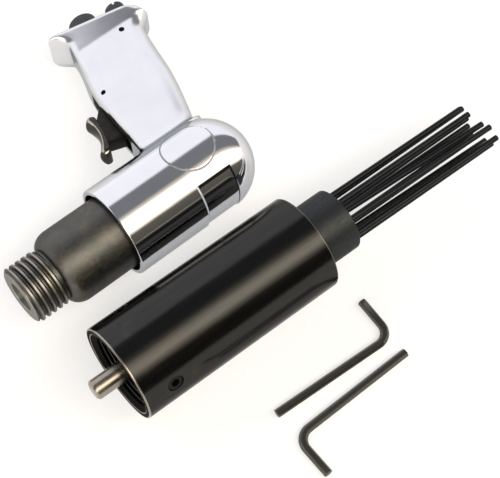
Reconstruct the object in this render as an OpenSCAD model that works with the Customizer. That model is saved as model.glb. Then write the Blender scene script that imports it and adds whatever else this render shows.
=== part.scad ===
// Needle scaler set: a pistol-grip air hammer lying on its side, its needle attachment taken off and laid
// beside it, and the two hex keys for the attachment's set screws. All sizes are in millimetres.
// X runs along the barrel from its nose to the rear, Y from the barrel to the grip's base, and Z is up.
// The origin is on the floor, under the middle of the whole set.

/* [Barrel] */
// Diameter of the steel barrel
barrel_d = 39.2; // [37:0.2:40.4]
// Length of the barrel, from its nose to its rear end
barrel_len = 94; // [84:0.5:108]
// Length of the nose ahead of the round shoulder
nose_len = 19; // [18:0.5:22]
// Length of the round shoulder
shoulder_len = 8.5; // [6:0.5:11]
// Crest diameter of the nose thread
thread_d = 30.6; // [28:0.2:33]
// Depth of the nose thread
thread_depth = 1.5; // [0.8:0.1:2]
// Pitch of the nose thread
thread_pitch = 3.35; // [2.8:0.05:3.5]
// Number of crests on the nose thread
thread_crests = 5; // [3:1:5]
// Diameter of the countersunk mouth of the nose
mouth_d = 16.2; // [13:0.2:20]
// Diameter of a tool shank
shank_d = 10.2; // [9.4:0.1:12.6]
// Length of the nose bore that guides the shank
shank_bore_len = 32; // [28:1:36]
// Bore that the hammer piston runs in
piston_bore_d = 19; // [16:0.5:22]
// Length of the hammer piston
piston_len = 34; // [28:1:40]

/* [Handle] */
// Distance from the bore's end to the domed end of the body
rear_wall = 27.05; // [25:0.05:32]
// Distance from the barrel's nose to the rim of the body
body_front = 54.5; // [50:0.5:58]
// Gap for the exhaust between the barrel and the rim
exhaust_gap = 2.3; // [1.6:0.1:3.5]
// Wall of the rim round the exhaust gap
rim_wall = 2.3; // [1.6:0.1:3]
// Depth of the exhaust gap round the barrel
exhaust_depth = 12; // [8:0.5:16]
// Diameter of the raised round pad on the body's side
pad_d = 26; // [18:0.5:32]
// Height of the raised pad
pad_rise = 0.7; // [0.4:0.1:1.2]
// Length of the shallow recess on top of the body
recess_len = 20; // [10:0.5:26]
// Depth of the shallow recess
recess_depth = 0.8; // [0.4:0.1:1.2]
// Half of the angle that the recess takes round the body
recess_half_angle = 46; // [20:1:65]

/* [Grip] */
// Lean of the grip away from square to the barrel
grip_rake = 11.3; // [6:0.1:16]
// Distance from the domed end to where the grip's axis meets the barrel's
grip_back_x = 32.9; // [30:0.1:36]
// Length of the grip from the barrel's axis to its base
grip_len = 108.9; // [104:0.1:116]
// Width of the grip from front to back
grip_w = 40; // [38:0.5:46]
// Width of the grip where it leaves the body
grip_root_w = 31; // [29:0.5:36]
// Thickness of the grip
grip_t = 25; // [24:0.5:30]
// Radius of the grip's front corners
front_round = 8; // [4:0.5:11]
// Radius of the grip's back corners
back_round = 10; // [5:0.5:11.5]
// Reach of the lip at the front of the base
lip_reach = 10.2; // [4:0.1:12]
// Reach of the heel at the back of the base
heel_reach = 6.6; // [3:0.1:8]
// Swell of the base at each side
swell_reach = 1.5; // [0:0.1:3]

/* [Trigger] */
// Length of the finger plate
trigger_len = 26; // [22:0.5:28]
// Width of the finger plate
plate_w = 11; // [10:0.5:18]
// Thickness of the finger plate at its ends
plate_t = 6; // [4.5:0.1:7]
// Thickness of the finger plate at its waist
plate_waist = 3.4; // [2.8:0.1:4.5]
// Crown of the finger plate across its width
plate_crown = 3; // [0.5:0.1:4]
// Hollow of the finger plate
finger_sag = 3.2; // [1:0.1:4]
// Distance from the grip's axis to the front of the finger plate
trigger_reach = 33.8; // [33:0.1:37]
// Lean of the finger plate from the grip's axis
plate_lean = 4; // [0:0.5:8]
// Width of the web behind the finger plate
web_w = 8; // [6:0.5:9]
// Diameter of the trigger's pivot pin
pivot_d = 2.5; // [2:0.1:3]

/* [Air fittings] */
// Outer diameter of the inlet bush
inlet_d = 15.6; // [15:0.2:18]
// Length of the inlet bush outside the grip
inlet_reach = 10.6; // [8:0.1:14]
// Minor diameter of the inlet's quarter-inch pipe thread
inlet_thread_d = 11.45; // [11:0.05:11.9]
// Depth of the inlet's thread
inlet_thread_len = 12; // [9:0.5:16]
// Diameter of the regulator's knob
regulator_d = 11; // [10:0.5:12]
// Length of the knob outside the grip
regulator_reach = 11.4; // [8:0.1:14]
// Diameter of the regulator's stem
regulator_stem_d = 9.5; // [8.5:0.1:10]

/* [Attachment] */
// Wall of the housing round its socket
socket_wall = 5.1; // [4.8:0.1:8]
// Room for the return spring
spring_room = 18.5; // [17:0.5:29]
// Wall of the housing round its spring
housing_wall = 3.3; // [3:0.1:4]
// Depth of the socket that slips over the barrel
socket_len = 32; // [30:0.5:34]
// Diameter of the set screws
screw_d = 8; // [5:0.5:10]
// Distance of the set screws from the rear rim
screw_x = 16.5; // [12:0.5:22]
// Turn of the first set screw from the top of the housing
screw_turn = 70; // [0:1:119]
// Diameter of the nose sleeve
sleeve_d = 33; // [32.5:0.5:36]
// Reach of the nose sleeve beyond the housing
sleeve_reach = 21; // [14:0.5:28]
// Wall of the nose sleeve
sleeve_wall = 1.7; // [1.4:0.05:1.7]
// Reach of the anvil's shank beyond the rear rim
shank_reach = 14; // [8:0.5:16]
// Diameter of the anvil's guide
anvil_guide_d = 18; // [14:0.5:22]
// Diameter of the anvil's striking head
anvil_head_d = 34; // [30:0.5:36]

/* [Needles] */
// Diameter of the needles
needle_d = 3; // [2:0.1:3.2]
// Length of the needles
needle_len = 150; // [136:1:160]
// Needles on the outer circle
outer_needles = 8; // [6:1:8]
// Needles on the inner circle
inner_needles = 4; // [3:1:4]
// Diameter of the outer circle of needles
outer_circle_d = 24; // [22:0.2:24]
// Diameter of the inner circle of needles
inner_circle_d = 11; // [9:0.2:12]
// Free travel of each needle in its holder
needle_float = 10; // [4:0.5:10.5]

/* [Hex keys] */
// Width of the keys across their flats
key_af = 4; // [3:0.5:5]
// Length of a key's long arm, over the bend
key_long = 70.5; // [60:0.5:80]
// Length of a key's short arm, over the bend
key_short = 25; // [18:0.5:32]
// Radius of the bend at the middle of the bar
key_bend_r = 7.5; // [4:0.5:9]

/* [Travels and clearances] */
// Travel of the trigger in degrees
trigger_travel = 12; // [6:0.5:13]
// Travel of the anvil
anvil_travel = 4; // [2:0.5:5]
// Travel of the needle holder against its spring
holder_travel = 6; // [3:0.5:6]
// Play across a running fit
running_play = 0.1; // [0.04:0.02:0.18]
// Play across parts that are pushed or screwed in
seat_play = 0.1; // [0.04:0.02:0.2]
// Gap between faces that move past each other
face_gap = 0.3; // [0.2:0.05:0.4]

/* [Hidden] */
$fn = 64;

// One overrun for every cut
cut = 1;
// Small chamfers: on edges that show, and on turned inner parts
edge_chamfer = 0.8;
fine_chamfer = 0.4;
// Wire and groove sizes of the small seal rings
seal_wire = 1.8;
seal_room = 0.05;

// Barrel
barrel_r = barrel_d / 2;
thread_root_d = thread_d - 2 * thread_depth;
thread_land = 0.9;
thread_flank = 0.9;
first_crest = 2;
mouth_depth = 3.2;
barrel_groove_lead = 6;
barrel_groove_x = body_front + exhaust_depth + barrel_groove_lead;
shoulder_steps = 10;

// Hammer and valve
piston_back_gap = 1;
piston_x = barrel_len - piston_back_gap - piston_len;
piston_nose_d = 13;
piston_nose_len = 4;
valve_block_len = 12.7;
valve_x = barrel_len + face_gap;
valve_end = valve_x + valve_block_len;
valve_port_d = 8;
valve_chamber_d = 17;
valve_chamber_len = 3.2;
valve_groove_w = 5;
valve_groove_depth = 2.5;
valve_hole_d = 4;
valve_holes = 4;
disc_d = 16.4;
disc_t = 1.2;
disc_back_gap = 0.2;
cap_t = 2.5;
cap_vent_d = 5;
cap_x = valve_end + face_gap / 2;
bore_end = cap_x + cap_t + face_gap;

// Handle
body_d = barrel_d + 2 * (exhaust_gap + rim_wall);
body_r = body_d / 2;
body_rear = bore_end + rear_wall;
body_len = body_rear - body_front;
dome_x = body_rear - body_r;
grip_x = body_rear - grip_back_x;
dome_steps = 16;
rim_chamfer = 1.2;
pad_lead = 0.5;
pad_x = grip_x + pad_lead;
pad_y = 1.2;
recess_back = 41.2;
recess_x = body_rear - recess_back;

// Grip: stations along its axis start at the barrel's axis and end at its base
root_station = 21;
root_len = 8;
root_fillet = 3.2;
waist_station = 65;
waist_start = 28;
lip_len = 10;
heel_len = 11;
heel_edge = 6;
heel_hold = 4;
swell_len = 8;
base_edge = 2.5;
edge_steps = 4;
flare_len = heel_len + heel_hold;
corner_steps = 7;
waist_curve = 1.5;
flare_curve = 2;
swell_curve = 1.2;

// Trigger and throttle, in the grip's own frame
pivot_w = -18.1;
pivot_s = 61.7;
pin_sink = 2;
pivot_pin_len = 14.4;
trigger_mid = 44.2;
boss_r = 3;
slot_side_gap = 0.5;
slot_w = web_w + 2 * slot_side_gap;
slot_start = 31;
slot_end = 69.5;
slot_back = -11;
throttle_s = 46;
pad_half = 4;
pad_w = -15.9;
web_bottom = 35.6;
web_back = -16.6;
web_top_w = -22.6;
web_top_s = 60.4;
plate_steps = 6;
plate_ends = 4;
end_angle = 80;
end_narrow = 0.35;
web_low_share = -0.62;
web_high_share = 0.85;
throttle_bore_d = 12;
throttle_end = 11.5;
bush_len = 8;
bush_sink = 0.1;
stem_d = 4;
stem_tip_d = 1.5;
stem_tip_len = 1.5;
stem_guide_len = 4;
stem_room_d = 7.5;
valve_head_d = 9.5;
valve_head_t = 2.5;
seat_gap = 0.2;
bush_start = slot_back + bush_sink;
bush_end = bush_start + bush_len;
head_start = bush_end + seat_gap;
head_end = head_start + valve_head_t;
bush_port_d = 3;
bush_port_w = bush_start + stem_guide_len + (bush_len - stem_guide_len) / 2;
bush_groove_w = bush_start + stem_guide_len / 2;
air_port_d = 4.5;
air_port_start = 14;
// The groove lies under the air port that comes down from the throttle
air_entry = barrel_r / cos(grip_rake);
valve_groove_x = grip_x + bush_port_w * cos(grip_rake) + air_entry * sin(grip_rake) - valve_x;
throttle_wire = 0.8;
throttle_coil_d = 7;
throttle_turns = 5;

// Air passages in the grip
inlet_w = -5.7;
inlet_spigot_d = 14;
inlet_spigot_len = 11.7;
screen_t = 1;
screen_hole_d = 2;
screen_circle_d = 7;
screen_holes = 6;
inlet_hole_d = 8;
inlet_step_d = 9;
inlet_bore_depth = 20.9;
inlet_bore_start = grip_len - inlet_bore_depth;
spigot_start = grip_len - inlet_spigot_len;
screen_start = spigot_start - screen_t - face_gap;
regulator_w = 13.6;
regulator_bore_depth = 22.9;
regulator_bore_start = grip_len - regulator_bore_depth;
regulator_stem_depth = 20.9;
regulator_stem_start = grip_len - regulator_stem_depth;
regulator_flat_len = 5;
regulator_pin_d = 3;
regulator_pin_depth = 14.2;
regulator_pin_s = grip_len - regulator_pin_depth;
regulator_groove_d = 8.2;
pin_gap = 0.1;
regulator_pin_w = regulator_w - regulator_groove_d / 2 - regulator_pin_d / 2 - pin_gap;
regulator_groove_len = regulator_pin_d + 2 * pin_gap;
regulator_seal_depth = 7.9;
regulator_seal_s = grip_len - regulator_seal_depth;
regulator_seal_wire = 1.3;
knob_slot_w = 1.6;
knob_slot_depth = 2;
cross_depth = 18.9;
cross_s = grip_len - cross_depth;
cross_d = 5.6;
feed_w = 9;
feed_d = 5.6;

// Roll of the pistol that brings the edge of its base down to the floor
foot_s = grip_len - base_edge;
foot_y = foot_s * cos(grip_rake) + (grip_w / 2 + lip_reach - front_round) * sin(grip_rake);
foot_z = grip_half_t(foot_s);
roll = asin(body_r / norm([foot_y, foot_z])) - atan(foot_z / foot_y);

// Attachment: stations start at its rear rim
socket_play = 0.6;
socket_d = barrel_d + socket_play;
housing_d = socket_d + 2 * socket_wall;
housing_r = housing_d / 2;
mouth_wall = 3.2;
mouth_len = 2.4;
mouth_groove_depth = 0.7;
mouth_groove_w = 1.2;
mouth_groove_pitch = 2.4;
mouth_grooves = 2;
nose_room_play = 1.3;
nose_room_d = thread_d + nose_room_play;
nose_room_len = 12;
chamber_d = housing_d - 2 * housing_wall;
chamber_x = socket_len + nose_room_len;
anvil_bush_len = 8;
ring_t = 1.6;
ring_depth = 1.2;
ring_inner_w = 3;
ring_gap_angle = 30;
ring_x = chamber_x + anvil_bush_len + seat_gap;
anvil_head_len = 7.6;
anvil_head_x = ring_x + ring_t + face_gap;
anvil_neck_len = 6;
anvil_guide_lead = 4;
anvil_guide_x = chamber_x - anvil_guide_lead;
anvil_front = anvil_head_x + anvil_head_len;
needle_head_d = 4.6;
needle_head_len = 3;
needle_rear = anvil_front + anvil_travel + face_gap;
holder_x = needle_rear + needle_float + needle_head_len + face_gap;
holder_t = 5.2;
lean_x = holder_x + holder_t / 2;
holder_skirt_len = 9;
holder_skirt_wall = 2.4;
holder_play = 0.3;
needle_hole_play = 0.5;
front_wall = 4.5;
flange_t = 4;
spring_start = holder_x + holder_t;
flange_x = spring_start + spring_room;
housing_len = flange_x + flange_t + front_wall;
sleeve_round = 1.2;
spring_wire = 2.4;
spring_play = 2;
spring_coil_d = chamber_d - 2 * spring_play - spring_wire;
spring_turns = 4;
screw_sink = 0.5;
screw_socket_af = key_af;
screw_socket_depth = 3;
screw_count = 3;
housing_chamfer = 0.8;

// How far forward each loose needle lies at rest, as shares of its free travel
forward_shares = [0.95, 0.75, 0.8, 0.2, 0.05, 0.5, 0.75, 0.8, 0.55, 0.55, 0.2, 0.3];
outer_turn = -57;
inner_turn = -15.5;
// The loose needles all lie over to one side, and each also leans by a share of the most it can
needle_lean = -0.9;
splay_angle = 1.8;
splay_shares = [-0.35, 0.15, 0.45, 0.05, 0.2, -0.35, 0, 0.15, 0.5, -0.9, 0.2, 0.35];

// Places of the attachment and the keys beside the pistol, from the nose's end
attachment_x = 11.4;
attachment_y = -61;
attachment_turn = -1.45;
key_1_x = 129.7;
key_1_y = -120.3;
key_1_angle = -3.7;
key_2_x = 60.9;
key_2_y = -130.8;
key_2_angle = 179.7;

// Middle of the set, which the origin stands under
needle_reach = attachment_x + needle_rear + needle_float * max(forward_shares) + needle_len;
inlet_tip_y = ((grip_len + inlet_reach) * cos(grip_rake) - inlet_w * sin(grip_rake)) * cos(roll)
    + inlet_d / 2 * norm([sin(grip_rake) * cos(roll), sin(roll)]);
set_x = needle_reach / 2;
set_y = (inlet_tip_y + key_2_y - key_short + key_af / 2) / 2;

// Coil rings: eight to a turn, six sides
coil_rings = 8;
coil_sides = 6;

function needle_name(k) = str("needle_", k < 10 ? "0" : "", k);
function needle_place(k) = k <= outer_needles
    ? [outer_circle_d / 2, outer_turn + 360 * k / outer_needles]
    : [inner_circle_d / 2, inner_turn + 360 * k / inner_needles];

// The grip's section at a station: half width, reach to the front and back, and half thickness
function flare(d, reach, len, curve = flare_curve) = reach * pow(max(0, 1 - d / len), curve);
function root_swell(s) = root_fillet * pow(min(1, max(0, 1 - (s - root_station) / root_len)), flare_curve);
function half_w(s) = grip_w / 2 - (grip_w - grip_root_w) / 2
    * pow(max(0, (waist_station - s) / (waist_station - waist_start)), waist_curve);
function edge_inset(s, e) = let (d = max(0, s - grip_len + e)) e - sqrt(max(0, e * e - d * d));
function grip_front(s) = half_w(max(s, waist_start)) + flare(grip_len - s, lip_reach, lip_len)
    + root_swell(s) - edge_inset(s, base_edge);
function grip_back(s) = half_w(max(s, waist_start)) + root_swell(s) - edge_inset(s, heel_edge)
    + flare(max(0, grip_len - s - heel_hold), heel_reach, heel_len);
function grip_half_t(s) = grip_t / 2 + flare(grip_len - s, swell_reach, swell_len, swell_curve)
    + root_swell(s) - edge_inset(s, base_edge);
function grip_ring(s) = [for (c = [0 : 3], k = [0 : corner_steps])
    let (back = c == 0 || c == 3, r = min(back ? back_round : front_round, grip_half_t(s) - fine_chamfer),
         a = 90 * (c + k / corner_steps),
         w = back ? grip_back(s) - r : r - grip_front(s),
         z = (c < 2 ? 1 : -1) * (grip_half_t(s) - r))
    [w + r * cos(a), s, z + r * sin(a)]];
function grip_stations() = let (low = root_station + root_len, high = grip_len - flare_len) concat(
    [root_station / 2],
    [for (k = [0 : 4]) root_station + root_len * k / 4],
    [for (k = [1 : 6]) low + (high - low) * k / 6],
    [for (k = [1 : 8]) high + (flare_len - base_edge) * k / 8],
    [for (k = [1 : edge_steps]) grip_len - base_edge + base_edge * sin(90 * k / edge_steps)]);

// Triangles of a closed tube of rings: its sides, then its two ends
function tube_faces(rings, n) = concat(
    [for (i = [0 : rings - 2], k = [0 : n - 1]) let (j = (k + 1) % n)
        [i * n + k, i * n + j, (i + 1) * n + j]],
    [for (i = [0 : rings - 2], k = [0 : n - 1]) let (j = (k + 1) % n)
        [i * n + k, (i + 1) * n + j, (i + 1) * n + k]],
    [for (k = [1 : n - 2]) [0, k + 1, k]],
    [for (k = [1 : n - 2]) [(rings - 1) * n, (rings - 1) * n + k, (rings - 1) * n + k + 1]]);

// A coil spring along Z: its middle line, its rings, and the least gap between its turns
function coil_mid(i, d, len, wire, turns) = let (t = i / (coil_rings * turns), a = 360 * turns * t)
    [d / 2 * cos(a), d / 2 * sin(a), wire / 2 + (len - wire) * t];
function coil_gap(d, len, wire, turns) = min([for (i = [0 : coil_rings * (turns - 1)])
    norm(coil_mid(i + coil_rings, d, len, wire, turns) - coil_mid(i, d, len, wire, turns))]) - wire;

module coil(d, len, wire, turns) {
    rings = coil_rings * turns;
    points = [for (i = [0 : rings], k = [0 : coil_sides - 1])
        let (m = coil_mid(i, d, len, wire, turns), a = 360 * turns * i / rings, b = 360 * k / coil_sides)
        m + wire / 2 * [cos(b) * cos(a), cos(b) * sin(a), -sin(b)]];
    polyhedron(points, tube_faces(rings + 1, coil_sides));
}

// Frames: the pistol's, the grip's, the attachment's, and turned parts along their axes
module on_pistol() translate([-set_x, -set_y, body_r]) rotate([-roll, 0, 0]) children();
module in_grip() on_pistol() translate([grip_x, 0, 0]) rotate([0, 0, -grip_rake]) children();
module on_attachment() translate([attachment_x - set_x, attachment_y - set_y, housing_r])
    rotate(attachment_turn) children();
module along_x(x = 0) translate([x, 0, 0]) rotate([0, 90, 0]) children();
module along_grip(w, s) translate([w, s, 0]) rotate([-90, 0, 0]) children();
module across_grip(w, s) translate([w, s, 0]) rotate([0, 90, 0]) children();

// A turned bar with a chamfer at each end
module turned(d, len, chamfer) {
    rotate_extrude() polygon([[0, 0], [d / 2 - chamfer, 0], [d / 2, chamfer],
        [d / 2, len - chamfer], [d / 2 - chamfer, len], [0, len]]);
}
module ring_groove(d, depth, w) {
    difference() {
        cylinder(d = d + 2 * cut, h = w);
        translate([0, 0, -cut]) cylinder(d = d - 2 * depth, h = w + 2 * cut);
    }
}
module seal_ring(inner_d, wire) {
    rotate_extrude() translate([inner_d / 2 + wire / 2 + seal_room, 0]) circle(d = wire);
}

module barrel_outline() {
    crest_r = thread_d / 2;
    root_r = thread_root_d / 2;
    thread_points = [for (i = [0 : thread_crests - 1]) let (x = first_crest + i * thread_pitch) each [
        [root_r, x - thread_land / 2 - thread_flank], [crest_r, x - thread_land / 2],
        [crest_r, x + thread_land / 2], [root_r, x + thread_land / 2 + thread_flank]]];
    shoulder_points = [for (k = [0 : shoulder_steps]) let (a = 90 * k / shoulder_steps)
        [root_r + (barrel_r - root_r) * sin(a), nose_len + shoulder_len * (1 - cos(a))]];
    polygon(concat([[0, 0], [root_r - fine_chamfer, 0], [root_r, fine_chamfer]], thread_points,
        shoulder_points, [[barrel_r, barrel_len], [0, barrel_len]]));
}

module barrel() color("#3d3c3a") on_pistol() along_x() difference() {
    rotate_extrude() barrel_outline();
    translate([0, 0, -cut]) cylinder(d = shank_d + running_play, h = barrel_len);
    cylinder(d1 = mouth_d, d2 = shank_d, h = mouth_depth);
    translate([0, 0, shank_bore_len]) cylinder(d = piston_bore_d, h = barrel_len);
    translate([0, 0, barrel_groove_x])
        ring_groove(barrel_d, seal_wire + seal_room, seal_wire + 2 * seat_play);
}
module barrel_o_ring() color("#1c1c1c") on_pistol() along_x(barrel_groove_x + seal_wire / 2 + seat_play)
    seal_ring(barrel_d - 2 * (seal_wire + seal_room), seal_wire);

module hammer_piston() color("#8d8f92") on_pistol() along_x(piston_x) {
    translate([0, 0, piston_nose_len])
        turned(piston_bore_d - running_play, piston_len - piston_nose_len, fine_chamfer);
    turned(piston_nose_d, piston_nose_len + fine_chamfer, fine_chamfer);
}

module valve_block() color("#77797c") on_pistol() along_x(valve_x) difference() {
    turned(barrel_d, valve_block_len, fine_chamfer);
    translate([0, 0, -cut]) cylinder(d = valve_port_d, h = valve_block_len);
    translate([0, 0, valve_block_len - valve_chamber_len]) cylinder(d = valve_chamber_d, h = valve_block_len);
    translate([0, 0, valve_groove_x - valve_groove_w / 2])
        ring_groove(barrel_d, valve_groove_depth, valve_groove_w);
    for (k = [0 : valve_holes - 1]) rotate(360 * k / valve_holes) translate([0, 0, valve_groove_x])
        rotate([0, 90, 0]) cylinder(d = valve_hole_d, h = barrel_d);
}

module cycle_valve() color("#b9bbbd") on_pistol() along_x(valve_end - disc_back_gap - disc_t)
    turned(disc_d, disc_t, fine_chamfer);
module valve_cap() color("#77797c") on_pistol() along_x(cap_x) difference() {
    turned(barrel_d, cap_t, fine_chamfer);
    translate([0, 0, -cut]) cylinder(d = cap_vent_d, h = cap_t + 2 * cut);
}

module body_outline() {
    dome_points = [for (k = [0 : dome_steps]) let (a = 90 * k / dome_steps)
        [body_r * cos(a), dome_x + body_r * sin(a)]];
    polygon(concat([[0, body_front], [body_r - rim_chamfer, body_front], [body_r, body_front + rim_chamfer]],
        dome_points));
}
module grip_solid() {
    stations = grip_stations();
    n = 4 * (corner_steps + 1);
    polyhedron([for (s = stations) each grip_ring(s)], tube_faces(len(stations), n));
}
module raised_pad() intersection() {
    along_x(body_front) cylinder(r = body_r + pad_rise, h = body_len);
    translate([pad_x, pad_y, 0]) cylinder(d = pad_d, h = body_d);
}
module top_recess() along_x(recess_x) rotate(-90 - recess_half_angle)
    rotate_extrude(angle = 2 * recess_half_angle) translate([body_r - recess_depth, 0])
    square([recess_depth + cut, recess_len]);
module grip_passages() {
    translate([pivot_w, pivot_s, -body_r]) cylinder(d = pivot_d + seat_play, h = body_d);
    translate([slot_back - grip_w, slot_start, -slot_w / 2]) cube([grip_w, slot_end - slot_start, slot_w]);
    across_grip(slot_back - cut, throttle_s)
        cylinder(d = throttle_bore_d, h = throttle_end - slot_back + cut);
    along_grip(bush_port_w, air_port_start) cylinder(d = air_port_d, h = throttle_s - air_port_start);
    along_grip(inlet_w, screen_start) cylinder(d = inlet_spigot_d, h = grip_len);
    along_grip(inlet_w, inlet_bore_start) cylinder(d = inlet_step_d, h = grip_len);
    along_grip(regulator_w, regulator_bore_start) cylinder(d = regulator_stem_d + running_play, h = grip_len);
    across_grip(inlet_w, cross_s) cylinder(d = cross_d, h = regulator_w - inlet_w);
    along_grip(feed_w, throttle_s) cylinder(d = feed_d, h = regulator_stem_start - throttle_s);
    translate([regulator_pin_w, regulator_pin_s, -body_r])
        cylinder(d = regulator_pin_d + seat_play, h = body_d);
}
module handle_body() color("#e4e5e8") difference() {
    union() {
        on_pistol() along_x() rotate_extrude() body_outline();
        on_pistol() raised_pad();
        in_grip() grip_solid();
    }
    on_pistol() along_x(body_front - cut) cylinder(d = barrel_d + seat_play, h = bore_end - body_front + cut);
    on_pistol() along_x(body_front - cut) cylinder(d = body_d - 2 * rim_wall, h = exhaust_depth + cut);
    on_pistol() top_recess();
    in_grip() grip_passages();
}

// The finger plate is a saddle: hollow along the grip and crowned across it, with round ends. The share runs
// from -1 at the end near the barrel to 1 at the other, and the plate is thinnest half way.
function plate_place(p) = [p[0] * cos(plate_lean) + p[1] * sin(plate_lean) - trigger_reach,
    p[1] * cos(plate_lean) - p[0] * sin(plate_lean) + trigger_mid];
function plate_thin(share) = 1 - (1 - plate_waist / plate_t) * (1 - share * share);
function plate_back(share) = plate_place([
    finger_sag * (1 - share * share) + plate_t * plate_thin(share) - cut,
    share * (trigger_len - plate_t) / 2]);
function plate_section() = concat([[plate_t, -plate_w / 2], [plate_t, plate_w / 2]],
    [for (k = [-plate_steps : plate_steps]) let (a = 90 * k / plate_steps)
        [plate_crown * (1 - cos(a)), -plate_w / 2 * sin(a)]]);
function plate_ring(share, a) = [for (p = plate_section())
    let (o = (plate_t / 2 + (p[0] - plate_t / 2) * cos(a)) * plate_thin(share),
         end = (share < 0 ? -1 : 1) * plate_t / 2 * sin(a),
         q = plate_place([finger_sag * (1 - share * share) + o, share * (trigger_len - plate_t) / 2 + end]))
    [q[0], q[1], p[1] * (1 - end_narrow * (1 - cos(a)))]];
module finger_plate() {
    rings = concat([for (k = [plate_ends : -1 : 1]) plate_ring(-1, end_angle * k / plate_ends)],
        [for (k = [-plate_steps : plate_steps]) plate_ring(k / plate_steps, 0)],
        [for (k = [1 : plate_ends]) plate_ring(1, end_angle * k / plate_ends)]);
    polyhedron([for (r = rings) each r], tube_faces(len(rings), len(plate_section())));
}
module web_outline() polygon([plate_back(web_low_share), [web_back, web_bottom],
    [pad_w, throttle_s - pad_half], [pad_w, throttle_s + pad_half], [pivot_w + boss_r, pivot_s],
    [pivot_w, pivot_s + boss_r], [web_top_w, web_top_s], plate_back(web_high_share), plate_back(0)]);
module trigger() color("#33302c") in_grip() difference() {
    union() {
        finger_plate();
        translate([0, 0, -web_w / 2]) linear_extrude(web_w) web_outline();
        translate([pivot_w, pivot_s, -web_w / 2]) cylinder(r = boss_r, h = web_w);
    }
    translate([pivot_w, pivot_s, -web_w]) cylinder(d = pivot_d + running_play, h = 2 * web_w);
}
module trigger_pin() color("#2a2a2a") in_grip() translate([pivot_w, pivot_s, -pivot_pin_len / 2])
    turned(pivot_d, pivot_pin_len, fine_chamfer);

module throttle_bush() color("#b08d4f") in_grip() across_grip(bush_start, throttle_s) difference() {
    turned(throttle_bore_d - seat_play, bush_len, fine_chamfer);
    translate([0, 0, -cut]) cylinder(d = stem_d + running_play, h = bush_len);
    translate([0, 0, stem_guide_len]) cylinder(d = stem_room_d, h = bush_len);
    translate([0, 0, bush_port_w - bush_start]) rotate([90, 0, 0])
        cylinder(d = bush_port_d, h = throttle_bore_d);
    translate([0, 0, bush_groove_w - bush_start - regulator_seal_wire / 2 - seat_play])
        ring_groove(throttle_bore_d - seat_play, regulator_seal_wire + seal_room,
            regulator_seal_wire + 2 * seat_play);
}
module throttle_o_ring() color("#1c1c1c") in_grip() across_grip(bush_groove_w, throttle_s)
    seal_ring(throttle_bore_d - seat_play - 2 * (regulator_seal_wire + seal_room), regulator_seal_wire);
module throttle_valve() color("#a8aaac") in_grip() across_grip(pad_w + face_gap, throttle_s) {
    stem_len = head_end - pad_w - face_gap;
    rotate_extrude() polygon([[0, 0], [stem_tip_d / 2, 0], [stem_d / 2, stem_tip_len],
        [stem_d / 2, stem_len - valve_head_t], [valve_head_d / 2, stem_len - valve_head_t],
        [valve_head_d / 2, stem_len], [0, stem_len]]);
}
module throttle_spring() color("#9a9c9f") in_grip() across_grip(head_end + seat_gap, throttle_s)
    coil(throttle_coil_d, throttle_end - head_end - 2 * seat_gap, throttle_wire, throttle_turns);

module inlet_bush() color("#4a4b4c") in_grip() along_grip(inlet_w, spigot_start) {
    bush_end_len = inlet_spigot_len + inlet_reach;
    difference() {
        union() {
            turned(inlet_spigot_d - seat_play, inlet_spigot_len + fine_chamfer, fine_chamfer);
            translate([0, 0, inlet_spigot_len]) turned(inlet_d, inlet_reach, edge_chamfer);
        }
        translate([0, 0, -cut]) cylinder(d = inlet_hole_d, h = bush_end_len + 2 * cut);
        translate([0, 0, bush_end_len - inlet_thread_len]) cylinder(d = inlet_thread_d, h = bush_end_len);
    }
}
module inlet_screen() color("#b08d4f") in_grip() along_grip(inlet_w, screen_start + face_gap / 2)
    difference() {
        cylinder(d = inlet_spigot_d - seat_play, h = screen_t);
        translate([0, 0, -cut]) cylinder(d = screen_hole_d, h = screen_t + 2 * cut);
        for (k = [0 : screen_holes - 1]) rotate(360 * k / screen_holes)
            translate([screen_circle_d / 2, 0, -cut]) cylinder(d = screen_hole_d, h = screen_t + 2 * cut);
    }

module regulator_screw() color("#39413a") in_grip() along_grip(regulator_w, regulator_stem_start) {
    stem_len = grip_len - regulator_stem_start + face_gap;
    difference() {
        union() {
            turned(regulator_stem_d, stem_len + fine_chamfer, fine_chamfer);
            translate([0, 0, stem_len]) turned(regulator_d, regulator_reach - face_gap, edge_chamfer);
        }
        translate([-regulator_stem_d, -regulator_stem_d, -cut])
            cube([2 * regulator_stem_d, regulator_stem_d, regulator_flat_len + cut]);
        translate([0, 0, regulator_pin_s - regulator_stem_start - regulator_groove_len / 2])
            ring_groove(regulator_stem_d, (regulator_stem_d - regulator_groove_d) / 2, regulator_groove_len);
        translate([0, 0, regulator_seal_s - regulator_stem_start - regulator_seal_wire / 2 - seat_play])
            ring_groove(regulator_stem_d, regulator_seal_wire + seal_room,
                regulator_seal_wire + 2 * seat_play);
        translate([-knob_slot_w / 2, -regulator_d, stem_len + regulator_reach - face_gap - knob_slot_depth])
            cube([knob_slot_w, 2 * regulator_d, knob_slot_depth + cut]);
    }
}
module regulator_o_ring() color("#1c1c1c") in_grip() along_grip(regulator_w, regulator_seal_s)
    seal_ring(regulator_stem_d - 2 * (regulator_seal_wire + seal_room), regulator_seal_wire);
module regulator_pin() color("#2a2a2a") in_grip()
    translate([regulator_pin_w, regulator_pin_s, -grip_t / 2 + pin_sink / 2])
    turned(regulator_pin_d, grip_t - pin_sink, fine_chamfer);

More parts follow.
